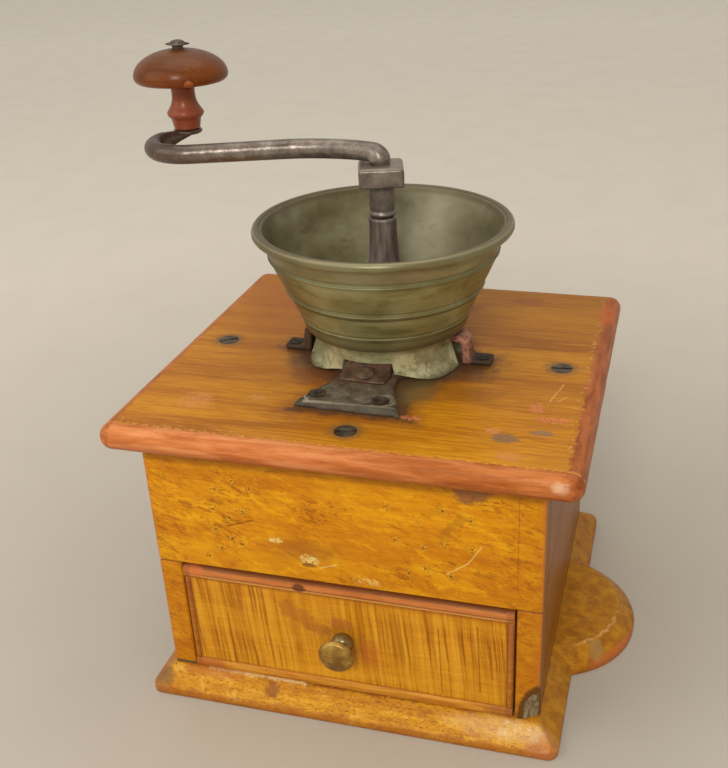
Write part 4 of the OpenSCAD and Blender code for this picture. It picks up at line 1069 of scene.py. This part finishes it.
def make_case():
    front = board("upper_front", "upper_front_board", "front_wood", spacing=3.0, seed=2)
    crack = [(70.9 + 0.25 * wave(0, 0, z, 5, 3) * 2, z) for z in range(117, 76, -3)]
    cut(front, slit(crack, 0.2, FRONT_Y - 1, FRONT_Y + 1.2))
    board("left_front_post", "left_post", "front_wood", spacing=3.0, seed=3)
    post = board("right_front_post", "right_post", "front_wood", spacing=3.0, seed=4)
    cut(post, blob(TORN_AT, TORN_REACH, 0.09, 2))
    board("left_side", "left_side_board", "side_wood", seed=5)
    side = board("right_side", "right_side_board", "side_wood", seed=6)
    rows = []
    for k in range(9):
        y = FRONT_Y + 12 + k * 2.1
        rise = 6.5 * (1 - k / 8) ** 1.4 + 0.35 + 0.5 * wave(0, y, 0, 3)
        rows.append([(CASE_X - 7 + k * 0.5, y, BASE_TOP - 1), (CASE_X + 2, y, BASE_TOP - 1),
                     (CASE_X + 2, y, BASE_TOP + rise), (CASE_X - 7 + k * 0.5, y, BASE_TOP + 0.5 * rise)])
    cut(side, mesh_from(*skin(rows)))
    board("back", "back_board", "side_wood", seed=7)


def nose_wear(p, out):
    """The top board is flat, its nose dented and its right edge chipped."""
    sink = 0.06 * (0.5 + 0.5 * wave(p.x, p.y, p.z, 30, 4))
    rim = between(1.2 - abs(out.z), 0, 1)
    sink += rim * (0.28 * (0.5 + 0.5 * wave(p.x, p.y, p.z, 16, 6)) + 0.08 * abs(wave(p.x, p.y, p.z, 4, 7)))
    arris = between(1 - abs(p.x - (TOP_HIGH.x - 5)) / 3, 0, 1) * between(out.z * 3, 0, 1)
    sink += arris * 1.1 * between(wave(p.x, p.y, p.z, 3.2, 8) + 0.15, 0, 1)
    return sink


def make_top():
    half = (TOP_HIGH.z - TOP_LOW.z) / 2
    mesh = rounded_block(TOP_LOW, TOP_HIGH, half, 2.2, nose_wear)
    top = piece("grinder_top", mesh, "case", "top_wood", "top_board")
    cut(top, cylinder(23.2, 23.2, TOP_LOW.z - 1, DECK + 1, (0, 0), 96))
    for at in TOP_SCREWS:
        cut(top, cylinder(2.2, 4.9, DECK - 3.3, DECK + 0.35, at))


def base_line(inset, ear_inset, z):
    """One level line round the base board and its ear, a given way in from their outline."""
    half_x = -BASE_LOW.x - inset
    half_y = BASE_HIGH.y - inset
    r = max(5 - 2 * inset, 0.7)
    ear_r = EAR_R - ear_inset
    reach = math.sqrt(ear_r ** 2 - (half_x - EAR_X) ** 2)
    spread = math.degrees(math.atan2(reach, half_x - EAR_X))

    def straight(start, end, count):
        return [(start[0] + (end[0] - start[0]) * k / count, start[1] + (end[1] - start[1]) * k / count)
                for k in range(1, count)]

    line = arc((half_x - r, -half_y + r), r, -90, 0, 6)
    line += straight(line[-1], (half_x, EAR_Y - reach), 14)
    line += arc((EAR_X, EAR_Y), ear_r, -spread, spread, 72)
    line += straight(line[-1], (half_x, half_y - r), 14)
    line += arc((half_x - r, half_y - r), r, 0, 90, 6)
    line += straight(line[-1], (-half_x + r, half_y), 60)
    line += arc((-half_x + r, half_y - r), r, 90, 180, 6)
    line += straight(line[-1], (-half_x, -half_y + r), 56)
    line += arc((-half_x + r, -half_y + r), r, 180, 270, 6)
    line += straight(line[-1], (half_x - r, -half_y), 60)
    return [(x, y, z) for x, y in line]


def make_base():
    edge, bevel, ear_bevel = 3.6, 9.2, 8.0
    rise = BASE_TOP - edge
    section = [(0.8, 0), (0.25, 0.25), (0, 0.8), (0, edge - 0.6), (0.12, edge - 0.1), (0.5, edge + 0.4)]
    section += [(bevel * t, edge + rise * t) for t in (0.12, 0.3, 0.5, 0.7, 0.88)]
    section += [(bevel - 0.5, BASE_TOP - 0.42), (bevel, BASE_TOP - 0.16), (bevel + 0.7, BASE_TOP),
                (12, BASE_TOP), (20, BASE_TOP)]
    rows = []
    for inset, z in section:
        share = inset / bevel
        ear_inset = ear_bevel * share if share < 1 else ear_bevel + inset - bevel
        row = []
        for x, y, level in base_line(inset, ear_inset, z):
            rub = 0.35 * (0.5 + 0.5 * wave(x, y, level, 11, 3)) + 0.15 * abs(wave(x, y, level, 3, 5))
            near_edge = between(1 - abs(inset - 0.3) / 2.2, 0, 1)
            near_edge += 0.7 * between(1 - abs(inset - bevel) / 1.4, 0, 1)
            sink = rub * near_edge if z > 0.5 else 0
            way = Vector((x, y, 0)).normalized()
            row.append((x - way.x * sink * 0.8, y - way.y * sink * 0.8,
                        level - sink * 0.5 if z > 1 else level))
        rows.append(row)
    mesh = mesh_from(*skin(rows), sharp=35)
    base = piece("base", mesh, "case", "base_wood", "base_board")
    corner = box_mm("base_screws")[1]
    for x in (-1, 1):
        for y in (-1, 1):
            cut(base, cylinder(3.8, 1.5, -0.4, 3.0, (x * (corner.x - 3.6), y * (corner.y - 3.6))), sharp=35)


# Drawer

def bead(start, end, out_axis, depth, height, proud):
    """A bead strip from start to end, its nose a flat round towards -Y."""
    start = Vector(start)
    end = Vector(end)
    way = (end - start).normalized()
    up = Vector(out_axis)
    section = [(depth, 0.0), (0.4, 0.0)]
    section += [(-proud * math.cos(t) + 0.4 * (1 - math.cos(t)),
                 height / 2 + (height / 2 - 0.05) * math.sin(t))
                for t in [math.radians(a) for a in range(-80, 81, 16)]]
    section += [(0.4, height), (depth, height)]
    count = max(2, round((end - start).length / 3))
    rows = []
    for k in range(count + 1):
        base = start + way * ((end - start).length * k / count)
        row = []
        for out, high in section:
            p = base + Vector((0, out, 0)) + up * high
            sink = 0.12 * (1 + wave(p.x, p.y, p.z, 5, 9)) if out < 0.4 else 0
            row.append((p.x, p.y + sink, p.z))
        rows.append(row)
    return skin(rows)


def make_drawer():
    """The bead strips round the drawer's front. The front itself is the CAD board."""
    proud, depth = 1.0, 7.6
    left, right = BEADS_LOW.x, BEADS_HIGH.x
    foot, top = BEADS_LOW.z + BEAD_FOOT, BEADS_HIGH.z - BEAD_TOP
    strips = (((left, top), (right, top), (0, 0, 1), BEAD_TOP),
              ((left, BEADS_LOW.z), (right, BEADS_LOW.z), (0, 0, 1), BEAD_FOOT),
              ((left + BEAD_END, foot), (left + BEAD_END, top), (-1, 0, 0), BEAD_END),
              ((right - BEAD_END, top), (right - BEAD_END, foot), (1, 0, 0), BEAD_END))
    points = []
    faces = []
    for (x0, z0), (x1, z1), out_axis, height in strips:
        strip_points, strip_faces = bead((x0, FRONT_Y, z0), (x1, FRONT_Y, z1), out_axis, depth, height, proud)
        faces += [tuple(i + len(points) for i in face) for face in strip_faces]
        points += strip_points
    mesh = mesh_from(points, faces, sharp=50)
    piece("drawer_bead_strips", mesh, "drawer", "bead_wood", "drawer_beads")


def make_pull():
    """Brass pull: a ball collar against the drawer, a thin neck and a dished disc."""
    out = 12.5
    edge = out - 3.2
    r = (PULL_HIGH.x - PULL_LOW.x) / 2
    profile = [(0, -14), (2.15, -14), (2.15, -0.2), (4.0, 0)]
    profile += arc((0.6, 2.2), 4.15, -30, 40, 8)
    profile += [(3.1, 5.2), (2.5, 5.9), (2.4, 6.6), (2.7, 7.5), (3.7, 8.3), (r - 1.0, edge - 0.1)]
    profile += arc((r - 0.6, edge + 0.55), 0.6, -80, 60, 5)
    profile += [(r * math.cos(math.radians(a)) * 0.97,
                 edge + 1.2 + (out - edge - 1.2) * math.sin(math.radians(a)))
                for a in (16, 24, 34, 46, 60, 75)]
    profile += [(0, out)]
    mesh = revolve([(max(a, 0.02), b) for a, b in profile], 72)
    place = Vector((PULL_X, FRONT_Y, PULL_Z)) * MM
    mesh.transform(Matrix.Translation(place) @ Matrix.Rotation(math.pi / 2, 4, "X"))
    piece("brass_pull", mesh, "drawer", "brass", "drawer_pull")


# Mill

def lower_edge(x, y):
    """Height over the board of the skirt's ragged lower edge."""
    turn = math.radians(-2)
    across = x * math.cos(turn) + y * math.sin(turn)
    if abs(x) > 20 and abs(y) < 5.6:
        return 14.0
    reach = abs(across)
    steps = [(0, 8.8), (10.0, 8.9), (10.9, 8.2), (11.3, 4.1), (13.6, 3.6), (20, 1.3), (25, 0.35), (27, 0.0),
             (60, 0.0)]
    for (x0, z0), (x1, z1) in zip(steps, steps[1:]):
        if reach <= x1:
            height = z0 + (z1 - z0) * (reach - x0) / (x1 - x0)
            torn = 0.08 * wave(x, y, 0, 3.0, 4) + 0.03 * wave(x, y, 0, 0.9, 6) if 0 < height else 0
            return max(height + torn, 0)
    return 0.0


def hopper_profile():
    """The hopper's section, radius and height over the board: up the outside, down the inside."""
    foot = [(27.3, 0.0), (33.5, 0.0), (33.8, 0.45), (33.2, 0.9), (31.4, 1.3), (30.1, 2.4), (29.5, 4.5),
            (29.1, 7.5), (29.0, 10.5), (29.05, 13.5), (29.3, 15.2)]
    outside = [(30.6, 15.5), (32.6, 15.8), (34.0, 16.4), (35.0, 17.6), (35.6, 19.2), (36.0, 21.0),
               (36.2, 22.0)]
    outside += arc((36.55, 22.9), 0.4, -60, 60, 5)
    outside += [(37.3, 24.6), (38.7, 27.4), (40.0, 30.2), (41.1, 32.6), (41.5, 33.5)]
    outside += arc((42.25, 34.5), 0.3, -60, 70, 5)
    outside += [(42.5, 35.7), (42.5, 36.3), (43.1, 37.2), (44.8, 40.6), (46.3, 43.9), (47.6, 46.9),
                (48.1, 48.2)]
    outside += arc((48.45, 49.1), 0.42, -50, 80, 5)
    outside += [(48.4, 50.5), (48.7, 51.1), (49.5, 53.0), (50.4, 55.4), (51.0, 57.0)]
    outside += arc((52.6, 59.3), 1.9, -65, 100, 14)
    inside = [(51.5, 60.95), (51.1, 60.6), (50.8, 60.55), (50.4, 60.5), (50.1, 60.0), (49.6, 58.6),
              (48.6, 56.2), (46.9, 52.2), (45.4, 48.7), (43.6, 44.6), (41.7, 40.3), (39.4, 35.4),
              (37.0, 30.6), (35.0, 26.6), (33.4, 23.4), (30.6, 19.8), (27.9, 17.1), (27.3, 16.2),
              (27.3, 12.0), (27.3, 8.0), (27.3, 4.0)]
    return foot, outside, inside + [(27.3, 0.0)]


def make_hopper():
    foot, outside, inside = hopper_profile()

    def radius_at(height, points):
        for (r0, z0), (r1, z1) in zip(points, points[1:]):
            if z0 <= height <= z1 and z1 > z0:
                return r0 + (r1 - r0) * (height - z0) / (z1 - z0)
        return points[-1][0]

    def shape(r, z, turn):
        x, y = r * math.cos(turn), r * math.sin(turn)
        low = lower_edge(29.5 * math.cos(turn), 29.5 * math.sin(turn))
        if z < low:
            r = radius_at(low, foot[1:]) if r > 27.4 else r
            z = low
        dent = 0.22 * (wave(x, y, z, 26, 2) - 0.6) + 0.08 * (wave(x, y, z, 7, 3) - 0.6)
        calm = between((z - 16) / 8, 0.0, 1.0)
        return r + dent * calm, DECK + z

    mesh = revolve(foot + outside + inside, 540, shape, sharp=55)
    hopper = piece("pewter_hopper", mesh, "case", "pewter", "hopper")
    weld = hopper.modifiers.new("weld", "WELD")
    weld.merge_threshold = 0.004 * MM
    apply_modifiers(hopper)
    soften(hopper.data, 55)


# Crank and knob

def make_arm():
    """The S-bent rod, from its socket in the head round to the flat eye under the knob."""
    knob_at = Vector(KNOB_AT)
    head_top = HEAD_HIGH.z
    rod_r, hole_r, hook_r = 3.9, 3.6, 16
    rod_z = head_top + rod_r + 0.5
    bend_r = rod_z - head_top
    head_heading, run_heading, eye_heading, hook_heading = 165, 201, 50, 72

    def along(degrees):
        return Vector((math.cos(math.radians(degrees)), math.sin(math.radians(degrees))))

    hook_end = knob_at - 5.5 * along(eye_heading)
    hook_at = hook_end + hook_r * along(eye_heading - 90)
    run_end = hook_at + hook_r * along(run_heading + 90)
    bend_end = bend_r * along(head_heading)
    run_side = along(run_heading + 90)
    sweep_r = (run_end - bend_end).dot(run_side) / (along(head_heading + 90) - run_side).dot(run_side)
    sweep_at = bend_end + sweep_r * along(head_heading + 90)
    tongue_at = hook_at + hook_r * along(hook_heading + 90)
    sides = 40
    rows = []

    def ring(centre, across, up, wide, high):
        row = []
        for i in range(sides):
            turn = 2 * math.pi * i / sides
            p = centre + wide * math.cos(turn) * across + high * math.sin(turn) * up
            dent = 0.07 * (wave(p.x, p.y, p.z, 9, 2) - 0.5)
            row.append(tuple(p + (p - centre).normalized() * (dent if p.z > head_top + 1 else 0)))
        rows.append(row)

    def level(at, heading, lift, wide, high):
        side = along(heading + 90)
        ring(Vector((at.x, at.y, rod_z + lift)), Vector((side.x, side.y, 0)), Vector((0, 0, 1)), wide, high)

    out = along(head_heading)
    ring(Vector((0, 0, head_top - 5)), Vector((-out.y, out.x, 0)), Vector((-out.x, -out.y, 0)),
         hole_r - 0.05, hole_r - 0.05)
    for fall in range(0, 85, 7):
        f = math.radians(fall)
        c = bend_r * (1 - math.cos(f))
        r = hole_r - 0.05 + 0.9 * min(1, fall / 18) - 0.5 * between((fall - 40) / 44, 0, 1)
        ring(Vector((c * out.x, c * out.y, head_top + bend_r * math.sin(f))), Vector((-out.y, out.x, 0)),
             Vector((-math.cos(f) * out.x, -math.cos(f) * out.y, math.sin(f))), r, r)
    for k in range(0, 37):
        h = head_heading + (run_heading - head_heading) * k / 36
        r = hole_r + 0.35 + (rod_r - 0.2 - hole_r) * min(1, 2.2 * k / 36)
        level(sweep_at + sweep_r * along(h - 90), h, 0, r, r)
    for h in range(run_heading, hook_heading, -3):
        level(hook_at + hook_r * along(h + 90), h, 0, rod_r, rod_r)
    tongue = knob_at - tongue_at
    tongue_turn = math.degrees(math.atan2(tongue.y, tongue.x))
    for k in range(0, 10):
        t = k / 10
        level(tongue_at + t * tongue, hook_heading + (tongue_turn - hook_heading) * min(1, 2 * t), 1.9 * t,
              rod_r - 0.2 + 1.1 * t, rod_r - 0.2 - 2.6 * t)
    points, faces = skin(rows)
    arm = piece("crank_rod", mesh_from(points, faces, 60), "crank", "crank_iron", "crank_arm")
    eye_r, eye_t, eye_top = 6.2, 1.8, rod_z + 3.3
    eye = [(0, 0), (eye_r - 1.0, 0), (eye_r - 0.3, 0.3), (eye_r, 0.7), (eye_r, eye_t - 0.6),
           (eye_r - 0.2, eye_t - 0.2), (eye_r - 0.8, eye_t), (0, eye_t)]
    eye_profile = [(max(r, 0.01), eye_top - eye_t + z) for r, z in eye]
    combine(arm, "UNION", revolve(eye_profile, 64, centre=knob_at))
    cut(arm, cylinder(2.4, 2.4, rod_z - 8, rod_z + 8, knob_at), sharp=50)


def make_pin():
    """The knob's pin, riveted under the eye, with a low pyramid of a washer on its upper end."""
    pin_low, pin_high = box_mm("knob_pin")
    low, high = box_mm("knob_washer")
    under = pin_low.z + 3.1
    profile = [(0.02, under), (1.4, under + 0.1), (2.6, under + 0.45), (3.1, under + 0.9),
               (3.1, under + 1.2), (2.38, under + 1.3), (2.38, high.z - 0.2), (2.9, high.z - 0.1),
               (2.75, high.z + 0.3), (2.1, high.z + 0.65), (1.1, pin_high.z - 0.1), (0.02, pin_high.z)]
    mesh = revolve(profile, 48, centre=KNOB_AT)
    piece("rivet_pin", mesh, "crank", "crank_iron", "knob_pin")
    rows = []
    for half, z in ((3.5, low.z), (3.75, low.z + 0.15), (3.8, low.z + 0.4), (3.6, low.z + 0.65),
                    (2.9, high.z - 0.25), (2.3, high.z)):
        row = []
        for side in range(4):
            for k in range(6):
                turn = math.radians(60 + 90 * side)
                p, q = half, half * (2 * k / 6 - 1)
                sink = 0.95 if k == 0 else 1
                row.append((KNOB_AT[0] + sink * (p * math.cos(turn) - q * math.sin(turn)),
                            KNOB_AT[1] + sink * (p * math.sin(turn) + q * math.cos(turn)), z))
        rows.append(row)
    piece("square_washer", mesh_from(*skin(rows), sharp=50), "crank", "screw_iron", "knob_washer")


def make_knob():
    high = KNOB_HIGH.z - KNOB_LOW.z
    cap_r = (KNOB_HIGH.x - KNOB_LOW.x) / 2
    rim_z = 22.4
    bore = 2.46
    profile = [(bore, 0), (5.2, 0), (5.6, 0.3), (5.9, 1.6), (6.3, 3.8), (6.6, 4.5), (7.2, 5.1), (7.7, 5.7),
               (7.95, 6.3), (7.9, 7.0), (7.6, 7.6)]
    profile += [(5.1 + 2.35 * (t / 7) ** 2, 14 - 6.2 * t / 7) for t in range(7, -1, -1)][1:]
    profile += [(5.05, 15.6), (5.15, 17.2), (5.6, 18.6), (6.6, 19.5), (8.4, 19.85)]
    for a in range(6, 90, 12):
        lean = math.radians(a)
        profile.append((cap_r - 3 + 3 * math.sin(lean), rim_z - 2.6 * math.cos(lean)))
    for a in range(0, 84, 4):
        lean = math.radians(a)
        profile.append((cap_r * math.cos(lean), rim_z + (high - rim_z) * math.sin(lean)))
    profile += [(bore, high)]

    def shape(r, z, turn):
        x, y = r * math.cos(turn), r * math.sin(turn)
        sink = 0.12 * (1 + wave(x, y, z, 9, 3)) if r > bore + 0.1 else 0
        return r - sink, KNOB_LOW.z + z

    mesh = revolve(profile + [profile[0]], 128, shape, KNOB_AT, sharp=35)
    piece("mushroom_knob", mesh, "knob", "knob_wood", "knob")


# Stage

def make_floor():
    """A wide pale floor whose tone grows lighter away from the object."""
    reach = 4000
    mesh = mesh_from([(-reach, -reach, 0), (reach, -reach, 0), (reach, reach, 0), (-reach, reach, 0)],
                     [(0, 1, 2, 3)])
    floor = bpy.data.objects.new("floor", mesh)
    bpy.context.scene.collection.objects.link(floor)
    s = Shade("floor", tone(190, 178, 160), 0.8)
    away = s.vector("LENGTH", s.place)
    s.colour = s.ramp(away * 0.0005, (0.08, tone(183, 175, 162)), (0.28, tone(219, 211, 197)),
                      (1.0, tone(246, 241, 229)))
    s.paint(s.step(0.35, 0.75, s.noise(0.02, detail=3)) * 0.06, tone(160, 150, 134))
    s.finish(specular=0.2)
    mesh.materials.append(s.material)


def area_light(name, at, aim, size, power, colour):
    light = bpy.data.lights.new(name, "AREA")
    light.shape = "DISK"
    light.size = size
    light.energy = power
    light.color = colour
    made = bpy.data.objects.new(name, light)
    made.location = at
    made.rotation_euler = (Vector(aim) - Vector(at)).to_track_quat("-Z", "Y").to_euler()
    bpy.context.scene.collection.objects.link(made)


def make_light():
    middle = (0, 0, 0.1)
    area_light("key", (0.12, -1.05, 0.86), middle, 0.35, 7.5, (1.0, 0.98, 0.95))
    area_light("fill", (-0.95, -0.75, 0.9), middle, 1.2, 5.5, (1.0, 0.98, 0.95))
    area_light("top", (-0.1, 0.2, 1.4), middle, 1.2, 4.5, (1.0, 0.98, 0.95))
    world = bpy.data.worlds.new("world")
    bpy.context.scene.world = world
    world.use_nodes = True
    tree = world.node_tree
    background = tree.nodes["Background"]
    background.inputs["Color"].default_value = tone(222, 216, 206)
    background.inputs["Strength"].default_value = 0.75
    seen = tree.nodes.new("ShaderNodeBackground")
    seen.inputs["Color"].default_value = tone(212, 203, 186)
    rays = tree.nodes.new("ShaderNodeLightPath")
    mix = tree.nodes.new("ShaderNodeMixShader")
    tree.links.new(rays.outputs["Is Camera Ray"], mix.inputs["Fac"])
    tree.links.new(background.outputs[0], mix.inputs[1])
    tree.links.new(seen.outputs[0], mix.inputs[2])
    tree.links.new(mix.outputs[0], tree.nodes["World Output"].inputs["Surface"])


def make_camera():
    """The photograph's view, fitted to the corners of the box."""
    turn, lift, roll = math.radians(15.54), math.radians(26.81), math.radians(-1.85)
    target = Vector((3.66, 13.11, 113.48))
    distance = 469.59
    focal, centre_x, centre_y = 1023.95, 405.18, 382.94
    width, height = 728, 768
    back = Vector((math.sin(turn) * math.cos(lift), -math.cos(turn) * math.cos(lift), math.sin(lift)))
    right = (-back).cross(Vector((0, 0, 1))).normalized()
    up = right.cross(-back)
    rolled_right = right * math.cos(roll) + up * math.sin(roll)
    rolled_up = up * math.cos(roll) - right * math.sin(roll)
    camera = bpy.data.objects.new("camera", bpy.data.cameras.new("camera"))
    bpy.context.scene.collection.objects.link(camera)
    pose = Matrix((rolled_right, rolled_up, back)).transposed().to_4x4()
    camera.matrix_world = Matrix.Translation((target + distance * back) * MM) @ pose
    camera.data.sensor_fit = "AUTO"
    camera.data.sensor_width = 36
    camera.data.lens = focal * 36 / height
    camera.data.shift_x = (width / 2 - centre_x) / height
    camera.data.shift_y = (centre_y - height / 2) / height
    camera.data.clip_start = 0.01
    bpy.context.scene.camera = camera


dress_nodes()
make_case()
make_top()
make_base()
make_drawer()
make_pull()
cast("mill_foot_plate", "mill_plate", "case", "plate_iron", 0.55, rough=0.12, lump=5)
bridge = cast("bridge", "bearing_bridge", "case", "bridge_iron", 0.6, passes=10, rough=0.12, lump=4)
cut(bridge, cylinder(4.35, 4.35, DECK, HEAD_LOW.z + 3, (0, 0), 64), sharp=60)
make_hopper()
cast("crank_block", "crank_head", "crank", "crank_iron", 0.4, passes=5, rough=0.12, lump=3)
make_arm()
make_pin()
make_knob()
make_floor()
make_light()
make_camera()
bpy.context.scene.view_settings.view_transform = "Standard"
